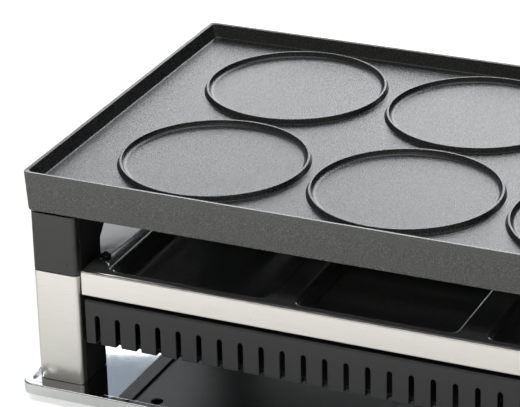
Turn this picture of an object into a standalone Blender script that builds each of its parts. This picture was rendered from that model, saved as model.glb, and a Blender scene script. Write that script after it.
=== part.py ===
"""Tabletop raclette grill with a cast pancake plate, built piece by piece.

Metres, +Z up, +X to the right along the length, +Y to the back.
The origin is the centre of the footprint, on the table.
A cast plate lies on four corner posts. Under it hang the tubular heating element and its rails.
Under those lies the enamelled pan deck, on a slotted housing that keeps its heat off the table.
The posts stand on a bright base tray with rubber feet, and the right end carries the controls.
"""

import math

import bmesh
import bpy
from mathutils import Matrix, Vector

# Air, overruns and facets
SEAT_GAP = 0.0003
CUT_OVERRUN = 0.002
JOIN_DEPTH = 0.0004
WELD_DISTANCE = 0.00001
CORNER_STEPS = 4
TURN_STEPS = 24
FLAT_ANGLE = math.radians(0.5)

# Grill plate, a casting
PLATE_LENGTH = 0.462
PLATE_DEPTH = 0.218
PLATE_CORNER = 0.0025
PLATE_EDGE_BREAK = 0.0004
SKIRT_HEIGHT = 0.021
SKIRT_WALL = 0.0033
SKIRT_INNER_DRAFT = 0.0008
SKIRT_FLARE = 0.0009
RIM_WIDTH = 0.0018
RIM_DRAFT = 0.0034
RIM_FOOT_FILLET = 0.0010
RIM_INNER_CORNER = 0.0035
GRIDDLE_DEPTH = 0.0064
GRIDDLE_FLOOR = 0.0031

# Round wells of the grill plate
WELL_RADIUS = 0.0473
WELL_PITCH_X = 0.103
WELL_PITCH_Y = 0.1024
WELL_EDGE_SPACE = 0.003
WELL_STEPS = 36
RIB_HEIGHT = 0.0026
RIB_TOP_WIDTH = 0.0011
RIB_OUTER_DRAFT = 0.0007
RIB_INNER_DRAFT = 0.0014
RIB_CROWN = 0.0003

# Corner posts: a moulded core, a black cap above and a steel cover below
POST_WIDTH = 0.0251
POST_DEPTH = 0.0259
POST_SET_X = 0.0004
POST_SET_Y = 0.0014
POST_CORNER = 0.0025
POST_GAP_ABOVE = 0.0013
CLADDING_SHEET = 0.0012
CLADDING_RETURN = 0.0048
CAP_HEIGHT = 0.0324
CAP_TOP_SHEET = 0.0020
PEG_SIZE = 0.009
PEG_INSET_X = 0.0046
PEG_INSET_Y = 0.0046
PEG_DRAFT = 0.0008
GUSSET_SHEET = 0.0020
GUSSET_REACH = 0.0167
GUSSET_DROP = 0.0201
POST_CORE_WALL = 0.0026
POST_CORE_ROOF = 0.0100

# Heating element, its rails and cross strips
HEATER_RADIUS = 0.00325
HEATER_RUNS = 4
HEATER_EDGE_Y = 0.040
HEATER_EDGE_X = 0.042
HEATER_END_BEND = 0.0095
HEATER_END_LENGTH = 0.0180
HEATER_END_STUB = 0.0040
HEATER_TURN_STEPS = 8
HEATER_BEND_STEPS = 3
SIDE_RAIL_DROP = 0.0050
SIDE_RAIL_SHEET = 0.0018
RAIL_SHEET = 0.0010
RAIL_HEIGHT = 0.0080
RAIL_FLANGE = 0.0100
RAIL_INSET_Y = 0.0180
RAIL_END_INSET = 0.0060
STRIP_SHEET = 0.0010
STRIP_WIDTH = 0.0080
STRIP_EAR_HEIGHT = 0.0050
STRIP_FROM_TURN = 0.009
STRIP_COUNT = 3

# Pan deck, a pressed and enamelled sheet
PAN_GAP = 0.0317
DECK_DROP = 0.0005
DECK_SHEET = 0.0012
DECK_INSET_Y = 0.0063
DECK_INSET_X = 0.0030
DECK_HEM_HEIGHT = 0.0045
DECK_HEM_SET = 0.0002
DECK_HEM_END = 0.0015
PAN_WIDTH = 0.0845
PAN_BAR = 0.0150
PAN_RECESS = 0.0070
PAN_DRAFT = 0.0030
PAN_RIM_BREAK = 0.0010
PAN_RIM_SHARE = 0.3
PAN_CORNER = 0.0050
PAN_CORNER_STEPS = 3
PAN_MARGIN_Y = 0.0042
PAN_MIDDLE_BAR = 0.016
PAN_EDGE_SPACE = 0.006

# Deck screws
SCREW_HEAD_RADIUS = 0.00275
SCREW_HEAD_HEIGHT = 0.0022
SCREW_SHANK_RADIUS = 0.0014
SCREW_LENGTH = 0.0040
SCREW_HEX_RADIUS = 0.0014
SCREW_HEX_DEPTH = 0.0011
SCREW_FROM_POST_X = 0.0042
SCREW_FROM_POST_Y = 0.0022

# Trim strips and the flat bars behind them
TRIM_HEIGHT = 0.0134
TRIM_INSET_Y = 0.0038
TRIM_SHEET = 0.0008
TRIM_FLANGE = 0.0024
TRIM_END_GAP = 0.0006
TRIM_BEND = 0.0008
BAR_SHEET = 0.0018
BAR_HEIGHT = 0.0100

# Slotted housing under the deck
GROOVE_HEIGHT = 0.0026
VENT_HEIGHT = 0.0248
VENT_INSET_Y = 0.0047
VENT_END_GAP = 0.0014
VENT_SHEET = 0.0010
VENT_BEND = 0.0012
VENT_TOP_FLANGE = 0.0070
VENT_BOTTOM_FLANGE = 0.0093
SLOT_WIDTH = 0.0027
SLOT_PITCH = 0.01128
SLOT_TOP_DROP = 0.0082
SLOT_END_SPACE = 0.0045
SLOT_UNDER_CUT = 0.0030
SLOT_TOP_STEPS = 3
END_WALL_SHEET = 0.0010
END_WALL_FLANGE = 0.0080
SHIELD_SHEET = 0.0010
SHIELD_HOLE_RADIUS = 0.0035
SHIELD_HOLE_PITCH = 0.046
SHIELD_HOLE_INSET_Y = 0.040
SMALL_HOLE_STEPS = 8

# Base tray and feet
PARK_GAP = 0.023
TRAY_SHEET = 0.0010
TRAY_OVERHANG_X = 0.0055
TRAY_OVERHANG_Y = 0.0090
TRAY_RIM_WIDTH = 0.0035
TRAY_RIM_RISE = 0.0016
TRAY_RIM_DRAFT = 0.0010
TRAY_LIP = 0.0060
TRAY_CORNER = 0.0060
FOOT_HEIGHT = 0.0080
FOOT_RADIUS = 0.0110
FOOT_DRAFT = 0.0015
FOOT_EDGE_BREAK = 0.0008
FOOT_DIMPLE_RADIUS = 0.0035
FOOT_DIMPLE_DEPTH = 0.0025
FOOT_INSET_X = 0.036
FOOT_INSET_Y = 0.028
FOOT_STEPS = 16

# Control housing at the right end
CONTROL_FACE_INSET = 0.0070
CONTROL_WALL = 0.0020
CONTROL_CORNER = 0.0030
CONTROL_POST_GAP = 0.0006
KNOB_PLACE_SHARE = -0.555
LAMP_PLACE_SHARE = -0.197
SWITCH_PLACE_SHARE = 0.123
INLET_PLACE_SHARE = 0.641
HOLE_CLEARANCE = 0.0003

# Terminal cover above the deck, at the right end
TERMINAL_WIDTH = 0.0125
TERMINAL_RAIL_GAP = 0.0010
TERMINAL_WALL = 0.0015
TERMINAL_EDGE_INSET = 0.0040
TERMINAL_TOP_GAP = 0.0018
TERMINAL_POST_GAP = 0.0024
TERMINAL_EDGE_BREAK = 0.0010

# Thermostat, its shaft and its knob
SHAFT_RADIUS = 0.0029
SHAFT_IN_BODY = 0.0060
SHAFT_FLAT_SHARE = 0.45
THERMOSTAT_SIZE = 0.025
THERMOSTAT_BACK_GAP = 0.0033
THERMOSTAT_EDGE_BREAK = 0.0010
KNOB_RADIUS = 0.0145
KNOB_GRIP_RADIUS = 0.0120
KNOB_LENGTH = 0.0110
KNOB_SKIRT_LENGTH = 0.0032
KNOB_EDGE_ROUND = 0.0012
KNOB_FLUTES = 12
KNOB_FLUTE_RADIUS = 0.0016
KNOB_BORE_DEPTH = 0.0075
KNOB_MARK_WIDTH = 0.0012
KNOB_MARK_DEPTH = 0.0006
KNOB_MARK_SHARE = 0.35
KNOB_FACE_GAP = 0.0006

# Rocker switch
SWITCH_WIDTH = 0.0150
SWITCH_HEIGHT = 0.0240
SWITCH_FLANGE = 0.0012
SWITCH_FLANGE_LIP = 0.0014
SWITCH_WALL = 0.0012
SWITCH_BODY_DEPTH = 0.0090
ROCKER_SIDE_GAP = 0.0004
ROCKER_END_GAP = 0.0007
ROCKER_PROUD = 0.0024
ROCKER_DISH = 0.0011
ROCKER_BACK = 0.0030
ROCKER_BACK_SHARE = 0.55
ROCKER_PIVOT_IN = 0.0010
ROCKER_TILT_DEG = 8.0

# Indicator lamp
LAMP_RADIUS = 0.0030
LAMP_FLANGE_RADIUS = 0.0042
LAMP_FLANGE = 0.0009
LAMP_DOME = 0.0016
LAMP_BODY_DEPTH = 0.0080

# Power inlet with three blades
INLET_WIDTH = 0.0270
INLET_HEIGHT = 0.0196
INLET_FLANGE = 0.0014
INLET_FLANGE_LIP = 0.0030
INLET_WALL = 0.0016
INLET_BASE = 0.0025
INLET_BACK_GAP = 0.0038
INLET_CORNER = 0.0035
BLADE_THICKNESS = 0.0020
BLADE_HEIGHT = 0.0040
BLADE_SPREAD = 0.0070
BLADE_EARTH_RISE = 0.0040
BLADE_DROP = 0.0020
BLADE_SHORTFALL = 0.0020

# Terminal block in the control housing
BLOCK_LENGTH = 0.0240
BLOCK_HEIGHT = 0.0130
BLOCK_WIDTH = 0.0120
BLOCK_EDGE_BREAK = 0.0008
BLOCK_WAYS = 3
BLOCK_HOLE_RADIUS = 0.0016

# Heights, worked out from the table up
half_length = PLATE_LENGTH / 2
half_depth = PLATE_DEPTH / 2
tray_under_z = FOOT_HEIGHT + SEAT_GAP
tray_floor_z = tray_under_z + TRAY_SHEET
vent_bottom_z = tray_floor_z + PARK_GAP
vent_top_z = vent_bottom_z + VENT_HEIGHT
trim_bottom_z = vent_top_z + GROOVE_HEIGHT
trim_top_z = trim_bottom_z + TRIM_HEIGHT
deck_top_z = trim_top_z - DECK_DROP
deck_under_z = deck_top_z - DECK_SHEET
skirt_bottom_z = deck_top_z + PAN_GAP
plate_top_z = skirt_bottom_z + SKIRT_HEIGHT
griddle_z = plate_top_z - GRIDDLE_DEPTH
griddle_under_z = griddle_z - GRIDDLE_FLOOR
cap_top_z = skirt_bottom_z - POST_GAP_ABOVE
seam_z = cap_top_z - CAP_HEIGHT

# Places along X and Y that several pieces share
post_inner_x = half_length - POST_SET_X - POST_WIDTH
post_inner_y = half_depth - POST_SET_Y - POST_DEPTH
vent_end_x = post_inner_x - VENT_END_GAP
trim_end_x = post_inner_x - TRIM_END_GAP
pan_pitch = PAN_WIDTH + PAN_BAR
side_rail_top_z = cap_top_z
side_rail_under_z = side_rail_top_z - SIDE_RAIL_SHEET
rail_bottom_z = cap_top_z + SEAT_GAP
strip_bottom_z = rail_bottom_z + RAIL_SHEET + SEAT_GAP
strip_top_z = strip_bottom_z + STRIP_SHEET
heater_z = strip_top_z + SEAT_GAP + HEATER_RADIUS
control_inner_x = vent_end_x + SEAT_GAP
control_face_x = half_length - CONTROL_FACE_INSET
control_back_x = control_face_x - CONTROL_WALL
control_bottom_z = vent_bottom_z + SEAT_GAP
control_top_z = deck_under_z - SEAT_GAP
control_mid_z = (control_bottom_z + control_top_z) / 2
control_half_y = post_inner_y - CONTROL_POST_GAP
knob_y = control_half_y * KNOB_PLACE_SHARE
lamp_y = control_half_y * LAMP_PLACE_SHARE
switch_y = control_half_y * SWITCH_PLACE_SHARE
inlet_y = control_half_y * INLET_PLACE_SHARE
terminal_outer_x = half_length - TERMINAL_EDGE_INSET
terminal_inner_x = terminal_outer_x - TERMINAL_WIDTH
side_rail_outer_x = terminal_inner_x - TERMINAL_RAIL_GAP
heater_terminal_x = (terminal_inner_x + terminal_outer_x) / 2

PARTS_NAME = "raclette_grill"
CUTTERS_NAME = "cutters"


def clear_scene():
    """Empty the file, so that the script gives the same result each time."""
    for obj in list(bpy.data.objects):
        bpy.data.objects.remove(obj, do_unlink=True)
    for name in (PARTS_NAME, CUTTERS_NAME):
        old = bpy.data.collections.get(name)
        if old is not None:
            bpy.data.collections.remove(old)
        bpy.context.scene.collection.children.link(bpy.data.collections.new(name))


def material(name, colour, roughness, metallic=0.0):
    """A plain Principled material in the piece's own colour."""
    mat = bpy.data.materials.get(name) or bpy.data.materials.new(name)
    mat.use_nodes = True
    shader = mat.node_tree.nodes["Principled BSDF"]
    shader.inputs["Base Color"].default_value = (*colour, 1.0)
    shader.inputs["Roughness"].default_value = roughness
    shader.inputs["Metallic"].default_value = metallic
    return mat


def new_object(name, mesh, collection=PARTS_NAME):
    """Link a mesh as an object, in the parts or the cutters collection."""
    obj = bpy.data.objects.new(name, mesh)
    bpy.data.collections[collection].objects.link(obj)
    if collection == CUTTERS_NAME:
        obj.hide_render = True
        obj.display_type = "WIRE"
    return obj


def mesh_from(bm, name, recalculate=True):
    """Turn a bmesh into a mesh with its faces pointing out. Blender's own primitives already do."""
    if recalculate:
        bmesh.ops.recalc_face_normals(bm, faces=bm.faces[:])
        if bm.calc_volume(signed=True) < 0:
            bmesh.ops.reverse_faces(bm, faces=bm.faces[:])
    mesh = bpy.data.meshes.new(name)
    bm.to_mesh(mesh)
    bm.free()
    return mesh


def dress(obj, mat, smooth_angle=None):
    """Give a piece its material, and smooth shading where it is round."""
    obj.data.materials.clear()
    obj.data.materials.append(mat)
    if smooth_angle is not None:
        obj.data.shade_smooth()
        obj.data.set_sharp_from_angle(angle=math.radians(smooth_angle))
    return obj


def cut(target, cutter, operation="DIFFERENCE"):
    """Cut a piece with a cutter, or join a shape to it."""
    modifier = target.modifiers.new(f"{operation.lower()} {cutter.name}", "BOOLEAN")
    modifier.operation = operation
    modifier.solver = "EXACT"
    modifier.object = cutter
    return target


def evaluated_mesh(obj, name):
    """The mesh of an object as its modifiers leave it, welded at its caps."""
    graph = bpy.context.evaluated_depsgraph_get()
    mesh = bpy.data.meshes.new_from_object(obj.evaluated_get(graph))
    bm = bmesh.new()
    bm.from_mesh(mesh)
    bpy.data.meshes.remove(mesh)
    bmesh.ops.remove_doubles(bm, verts=bm.verts[:], dist=WELD_DISTANCE)
    bmesh.ops.dissolve_limit(bm, angle_limit=FLAT_ANGLE, verts=bm.verts[:], edges=bm.edges[:])
    bm.transform(obj.matrix_world)
    return mesh_from(bm, name)


def arc(centre, radius, start_deg, end_deg, steps):
    """Points on an arc, both ends included."""
    points = []
    for i in range(steps + 1):
        angle = math.radians(start_deg + (end_deg - start_deg) * i / steps)
        points.append((centre[0] + radius * math.cos(angle), centre[1] + radius * math.sin(angle)))
    return points


def rounded_rectangle(half_x, half_y, radius, steps=CORNER_STEPS):
    """The outline of a rectangle with round corners, anticlockwise about its centre."""
    inner_x = half_x - radius
    inner_y = half_y - radius
    points = []
    for sign_x, sign_y, start in ((1, 1, 0), (-1, 1, 90), (-1, -1, 180), (1, -1, 270)):
        points += arc((sign_x * inner_x, sign_y * inner_y), radius, start, start + 90, steps)
    return points


def outline_mesh(name, points, low, high, plane="XY"):
    """A flat outline made solid from low to high along the plane's third axis.

    In the plane XY the outline's values are x and y, in YZ they are y and z, in XZ they are x and z.
    """
    curve = bpy.data.curves.new(name, "CURVE")
    curve.dimensions = "2D"
    curve.fill_mode = "BOTH"
    curve.extrude = (high - low) / 2
    spline = curve.splines.new("POLY")
    spline.points.add(len(points) - 1)
    for point, (a, b) in zip(spline.points, points):
        point.co = (a, b, 0, 1)
    spline.use_cyclic_u = True
    middle = (low + high) / 2
    columns = {
        "XY": (Vector((1, 0, 0)), Vector((0, 1, 0)), Vector((0, 0, 1)), Vector((0, 0, middle))),
        "YZ": (Vector((0, 1, 0)), Vector((0, 0, 1)), Vector((1, 0, 0)), Vector((middle, 0, 0))),
        "XZ": (Vector((1, 0, 0)), Vector((0, 0, 1)), Vector((0, -1, 0)), Vector((0, middle, 0))),
    }[plane]
    frame = Matrix([column.to_4d() for column in columns]).transposed()
    for row in range(3):
        frame[3][row] = 0
    frame[3][3] = 1
    for column in range(3):
        frame[column][3] = columns[3][column]
    obj = bpy.data.objects.new(name, curve)
    obj.matrix_world = frame
    bpy.context.scene.collection.objects.link(obj)
    bpy.context.view_layer.update()
    mesh = evaluated_mesh(obj, name)
    bpy.data.objects.remove(obj, do_unlink=True)
    bpy.data.curves.remove(curve)
    return mesh


def outline_solid(name, points, low, high, plane="XY", collection=PARTS_NAME):
    """An object made from outline_mesh."""
    return new_object(name, outline_mesh(name, points, low, high, plane), collection)


def joined_boxes(name, boxes, collection=CUTTERS_NAME):
    """Separate boxes in one object, each between any two of its opposite corners."""
    bm = bmesh.new()
    for first, second in boxes:
        size = [abs(a - b) for a, b in zip(first, second)]
        middle = (Vector(first) + Vector(second)) / 2
        place = Matrix.Translation(middle) @ Matrix.Diagonal((*size, 1))
        bmesh.ops.create_cube(bm, size=1, matrix=place)
    return new_object(name, mesh_from(bm, name, False), collection)


def box_solid(name, first, second, collection=PARTS_NAME):
    """A box between two of its opposite corners."""
    return joined_boxes(name, [(first, second)], collection)


def loft(name, rings, collection=PARTS_NAME):
    """A solid through rounded rectangles, each (half x, half y, corner radius, z, centre)."""
    bm = bmesh.new()
    add_loft(bm, rings)
    return new_object(name, mesh_from(bm, name), collection)


def add_loft(bm, rings, steps=CORNER_STEPS):
    """Add one lofted solid to a bmesh: a band between each two rings, and a cap at both ends."""
    loops = []
    for half_x, half_y, radius, z, (centre_x, centre_y) in rings:
        outline = rounded_rectangle(half_x, half_y, radius, steps)
        loops.append([bm.verts.new((centre_x + x, centre_y + y, z)) for x, y in outline])
    for lower, upper in zip(loops, loops[1:]):
        count = len(lower)
        for i in range(count):
            j = (i + 1) % count
            bm.faces.new((lower[i], lower[j], upper[j], upper[i]))
    bm.faces.new(loops[0][::-1])
    bm.faces.new(loops[-1])


def turned_mesh(name, profile, steps=TURN_STEPS, closed=False):
    """A shape turned about Z by a Screw modifier, its profile running down the outer side."""
    bm = bmesh.new()
    verts = [bm.verts.new((r, 0, z)) for r, z in profile]
    pairs = list(zip(verts, verts[1:]))
    if closed:
        pairs.append((verts[-1], verts[0]))
    for a, b in pairs:
        bm.edges.new((a, b))
    mesh = bpy.data.meshes.new(name)
    bm.to_mesh(mesh)
    bm.free()
    obj = bpy.data.objects.new(name, mesh)
    bpy.context.scene.collection.objects.link(obj)
    screw = obj.modifiers.new("turn", "SCREW")
    screw.steps = steps
    screw.render_steps = steps
    screw.use_merge_vertices = True
    screw.merge_threshold = WELD_DISTANCE
    bpy.context.view_layer.update()
    turned = evaluated_mesh(obj, name)
    bpy.data.objects.remove(obj, do_unlink=True)
    bpy.data.meshes.remove(mesh)
    return turned


def along_x(place):
    """A turned shape's own +Z laid along +X, at a place."""
    return Matrix.Translation(place) @ Matrix.Rotation(math.radians(90), 4, "Y")


def cylinder_cutter(name, radius, low_x, high_x, centre_y, centre_z, steps=TURN_STEPS):
    """A round cutter along X."""
    bm = bmesh.new()
    bmesh.ops.create_cone(bm, cap_ends=True, segments=steps, radius1=radius, radius2=radius,
                          depth=high_x - low_x)
    bm.transform(along_x(((low_x + high_x) / 2, centre_y, centre_z)))
    return new_object(name, mesh_from(bm, name, False), CUTTERS_NAME)


def notched_sheet(name, half_xs, half_ys, low, high):
    """A flat sheet with a square notch in each corner, from its outer and notched half lengths."""
    end_x, notch_x = half_xs
    end_y, notch_y = half_ys
    bm = bmesh.new()
    columns = (-end_x, -notch_x, notch_x, end_x)
    rows = (-end_y, -notch_y, notch_y, end_y)
    grid = [[bm.verts.new((x, y, low)) for y in rows] for x in columns]
    for i in range(3):
        for j in range(3):
            if i == 1 or j == 1:
                bm.faces.new((grid[i][j], grid[i + 1][j], grid[i + 1][j + 1], grid[i][j + 1]))
    loose = [vert for vert in bm.verts if not vert.link_faces]
    bmesh.ops.delete(bm, geom=loose, context="VERTS")
    pushed = bmesh.ops.extrude_face_region(bm, geom=bm.faces[:])
    moved = [item for item in pushed["geom"] if isinstance(item, bmesh.types.BMVert)]
    bmesh.ops.translate(bm, verts=moved, vec=(0, 0, high - low))
    return new_object(name, mesh_from(bm, name))


def bevel(obj, width, segments=2, angle=30):
    """Break the sharp edges of a piece."""
    modifier = obj.modifiers.new("edge break", "BEVEL")
    modifier.width = width
    modifier.segments = segments
    modifier.limit_method = "ANGLE"
    modifier.angle_limit = math.radians(angle)
    return obj


def count_that_fits(room, size, pitch):
    """How many copies of a size fit in a room at a pitch."""
    return max(1, 1 + int((room - size) / pitch))


def centred_places(count, pitch):
    """Places of a row of copies about zero."""
    return [(i - (count - 1) / 2) * pitch for i in range(count)]


def build_grill_plate(mat):
    """The cast plate: a skirt, a shallow griddle and round wells with raised ribs."""
    inset_under = SKIRT_WALL + SKIRT_INNER_DRAFT
    flare = SKIRT_FLARE
    foot = RIM_WIDTH - flare + RIM_DRAFT
    fillet = RIM_FOOT_FILLET
    edge = PLATE_EDGE_BREAK
    sections = [
        (inset_under, RIM_INNER_CORNER, griddle_under_z),
        (SKIRT_WALL, RIM_INNER_CORNER, skirt_bottom_z),
        (edge, PLATE_CORNER, skirt_bottom_z),
        (0, PLATE_CORNER, skirt_bottom_z + edge),
        (-flare, PLATE_CORNER, plate_top_z - edge),
        (edge - flare, PLATE_CORNER, plate_top_z),
        (RIM_WIDTH - flare - edge, PLATE_CORNER, plate_top_z),
        (RIM_WIDTH - flare, RIM_INNER_CORNER, plate_top_z - edge),
        (foot, RIM_INNER_CORNER, griddle_z + fillet),
    ]
    for step in (1, 2):
        angle = math.radians(45 * step)
        inset = foot + fillet * (1 - math.cos(angle))
        sections.append((inset, RIM_INNER_CORNER, griddle_z + fillet * (1 - math.sin(angle))))
    rings = [(half_length - inset, half_depth - inset, corner, z, (0, 0))
             for inset, corner, z in sections]
    plate = loft("grill_plate", rings)
    cut(plate, build_well_ribs(foot + fillet), "UNION")
    return dress(plate, mat, 30)


def build_well_ribs(floor_inset):
    """One raised rib for each well, sunk a little into the griddle floor."""
    top = griddle_z + RIB_HEIGHT
    outer_top = WELL_RADIUS + RIB_TOP_WIDTH / 2
    inner_top = WELL_RADIUS - RIB_TOP_WIDTH / 2
    outer_base = outer_top + RIB_OUTER_DRAFT
    inner_base = inner_top - RIB_INNER_DRAFT
    profile = [
        (outer_top - RIB_CROWN, top),
        (outer_top, top - RIB_CROWN),
        (outer_base, griddle_z),
        (outer_base, griddle_z - JOIN_DEPTH),
        (inner_base, griddle_z - JOIN_DEPTH),
        (inner_base, griddle_z),
        (inner_top, top - RIB_CROWN),
        (inner_top + RIB_CROWN, top),
    ]
    rib = turned_mesh("well_rib", profile, WELL_STEPS, closed=True)
    floor = 2 * (floor_inset + WELL_EDGE_SPACE)
    columns = count_that_fits(PLATE_LENGTH - floor, 2 * outer_base, WELL_PITCH_X)
    rows = count_that_fits(PLATE_DEPTH - floor, 2 * outer_base, WELL_PITCH_Y)
    bm = bmesh.new()
    for x in centred_places(columns, WELL_PITCH_X):
        for y in centred_places(rows, WELL_PITCH_Y):
            start = len(bm.verts)
            bm.from_mesh(rib)
            bm.verts.ensure_lookup_table()
            bmesh.ops.translate(bm, verts=bm.verts[start:], vec=(x, y, 0))
    bpy.data.meshes.remove(rib)
    return new_object("well_ribs", mesh_from(bm, "well_ribs"), CUTTERS_NAME)


def corner(sign_x, sign_y, u, v):
    """A point measured inwards from a post's outer corner."""
    x = sign_x * (half_length - POST_SET_X - u)
    y = sign_y * (half_depth - POST_SET_Y - v)
    return (x, y)


def corner_outline(sign_x, sign_y, points):
    """An outline given from a post's outer corner, in the part's own axes."""
    return [corner(sign_x, sign_y, u, v) for u, v in points]


def cladding_outline():
    """The outer outline of a post, with its two front edges rounded."""
    radius = POST_CORNER
    points = arc((radius, radius), radius, 180, 270, CORNER_STEPS)
    points += arc((POST_WIDTH - radius, radius), radius, 270, 360, CORNER_STEPS)
    points += [(POST_WIDTH, POST_DEPTH), (0, POST_DEPTH)]
    return points


def core_outline(offset, overrun):
    """What lies inside the cladding, which turns round the post's inner side by a short return."""
    step = CLADDING_SHEET + offset
    inner = POST_WIDTH - step
    back = POST_DEPTH + overrun
    side = POST_WIDTH + overrun
    turn = CLADDING_RETURN + offset
    return [(step, step), (inner, step), (inner, turn), (side, turn), (side, back), (step, back)]


def build_post(label, sign_x, sign_y, mats):
    """One corner post: its moulded core, its black cap and its steel cover."""
    bottom = tray_floor_z + SEAT_GAP
    core_top = cap_top_z - CAP_TOP_SHEET - SEAT_GAP
    core = outline_solid(f"post_{label}", corner_outline(sign_x, sign_y, core_outline(SEAT_GAP, 0)),
                         bottom, core_top)
    cut(core, build_gusset(label, sign_x, sign_y), "UNION")
    cut(core, build_post_hollow(label, sign_x, sign_y, bottom, core_top))
    dress(core, mats["black_moulding"])
    outline = corner_outline(sign_x, sign_y, cladding_outline())
    inside = corner_outline(sign_x, sign_y, core_outline(0, CUT_OVERRUN))
    cap = outline_solid(f"cap_{label}", outline, seam_z + SEAT_GAP, cap_top_z)
    hollow = outline_solid(f"cap_{label}_hollow", inside, seam_z - CUT_OVERRUN,
                           cap_top_z - CAP_TOP_SHEET, "XY", CUTTERS_NAME)
    cut(cap, hollow)
    cut(cap, build_peg(label, sign_x, sign_y), "UNION")
    dress(cap, mats["satin_black"], 40)
    cover = outline_solid(f"cover_{label}", outline, bottom, seam_z)
    cover_hollow = outline_solid(f"cover_{label}_hollow", inside, bottom - CUT_OVERRUN,
                                 seam_z + CUT_OVERRUN, "XY", CUTTERS_NAME)
    cut(cover, cover_hollow)
    dress(cover, mats["brushed_steel"], 40)


def build_post_hollow(label, sign_x, sign_y, bottom, core_top):
    """The core is moulded hollow, open below, under a thick roof."""
    inner = CLADDING_SHEET + SEAT_GAP + POST_CORE_WALL
    low = corner(sign_x, sign_y, inner, inner)
    high = corner(sign_x, sign_y, POST_WIDTH - inner, POST_DEPTH - POST_CORE_WALL)
    return box_solid(f"post_{label}_hollow", (*low, bottom - CUT_OVERRUN),
                     (*high, core_top - POST_CORE_ROOF), CUTTERS_NAME)


def build_gusset(label, sign_x, sign_y):
    """The web behind a post's head that carries the side rail."""
    top = side_rail_under_z - SEAT_GAP
    start = post_inner_y + JOIN_DEPTH
    end = post_inner_y - GUSSET_REACH
    points = [(sign_y * start, top), (sign_y * end, top), (sign_y * start, top - GUSSET_DROP)]
    faces = sorted((sign_x * post_inner_x, sign_x * (post_inner_x + GUSSET_SHEET)))
    return outline_solid(f"gusset_{label}", points, faces[0], faces[1], "YZ", CUTTERS_NAME)


def build_peg(label, sign_x, sign_y):
    """The peg on a cap, which carries the plate inside its skirt."""
    centre = corner(sign_x, sign_y, PEG_INSET_X + PEG_SIZE / 2, PEG_INSET_Y + PEG_SIZE / 2)
    half = PEG_SIZE / 2
    top = griddle_under_z - SEAT_GAP
    rings = [
        (half, half, PEG_DRAFT, cap_top_z - JOIN_DEPTH, centre),
        (half - PEG_DRAFT, half - PEG_DRAFT, PEG_DRAFT, top, centre),
    ]
    return loft(f"peg_{label}", rings, CUTTERS_NAME)


def heater_run_places():
    """The heater's straight runs, spread evenly across the plate."""
    pitch = (PLATE_DEPTH - 2 * HEATER_EDGE_Y) / (HEATER_RUNS - 1)
    return centred_places(HEATER_RUNS, pitch)


def heater_straight_x():
    """How far from the middle the heater's runs stay straight."""
    runs = heater_run_places()
    return half_length - HEATER_EDGE_X - (runs[1] - runs[0]) / 2


def build_tube(name, points, mat):
    """A round tube along a path, with closed ends."""
    curve = bpy.data.curves.new(name, "CURVE")
    curve.dimensions = "3D"
    curve.bevel_depth = HEATER_RADIUS
    curve.bevel_resolution = 2
    curve.use_fill_caps = True
    spline = curve.splines.new("POLY")
    spline.points.add(len(points) - 1)
    for point, place in zip(spline.points, points):
        point.co = (*place, 1)
    tube = bpy.data.objects.new(f"{name}_path", curve)
    bpy.context.scene.collection.objects.link(tube)
    bpy.context.view_layer.update()
    mesh = evaluated_mesh(tube, name)
    bpy.data.objects.remove(tube, do_unlink=True)
    bpy.data.curves.remove(curve)
    return dress(new_object(name, mesh), mat, 50)


def build_heating_element(mat):
    """A tubular element: straight runs joined by round turns, ending at its two cold ends."""
    runs = heater_run_places()
    turn = (runs[1] - runs[0]) / 2
    left_x = -heater_straight_x()
    right_x = heater_straight_x()
    end_x = heater_terminal_x - HEATER_END_BEND - HEATER_END_STUB - SEAT_GAP
    points = [(end_x, runs[0], heater_z)]
    for index, (near, far) in enumerate(zip(runs, runs[1:])):
        leftwards = index % 2 == 0
        centre = (left_x if leftwards else right_x, (near + far) / 2)
        sweep = (270, 90) if leftwards else (-90, 90)
        points += [(x, y, heater_z) for x, y in arc(centre, turn, *sweep, HEATER_TURN_STEPS)]
    points.append((end_x, runs[-1], heater_z))
    build_tube("heating_element", points, mat)


def build_heater_ends(mat):
    """The element's two cold ends, bent down into the terminal cover."""
    runs = heater_run_places()
    terminal_x = heater_terminal_x
    bend_x = terminal_x - HEATER_END_BEND
    bend = arc((bend_x, heater_z - HEATER_END_BEND), HEATER_END_BEND, 90, 0, HEATER_BEND_STEPS)
    end_z = heater_z - HEATER_END_BEND - HEATER_END_LENGTH
    for label, y in (("front", runs[0]), ("rear", runs[-1])):
        points = [(bend_x - HEATER_END_STUB, y, heater_z)]
        points += [(x, y, z) for x, z in bend]
        points.append((terminal_x, y, end_z))
        build_tube(f"heater_end_{label}", points, mat)


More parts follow.
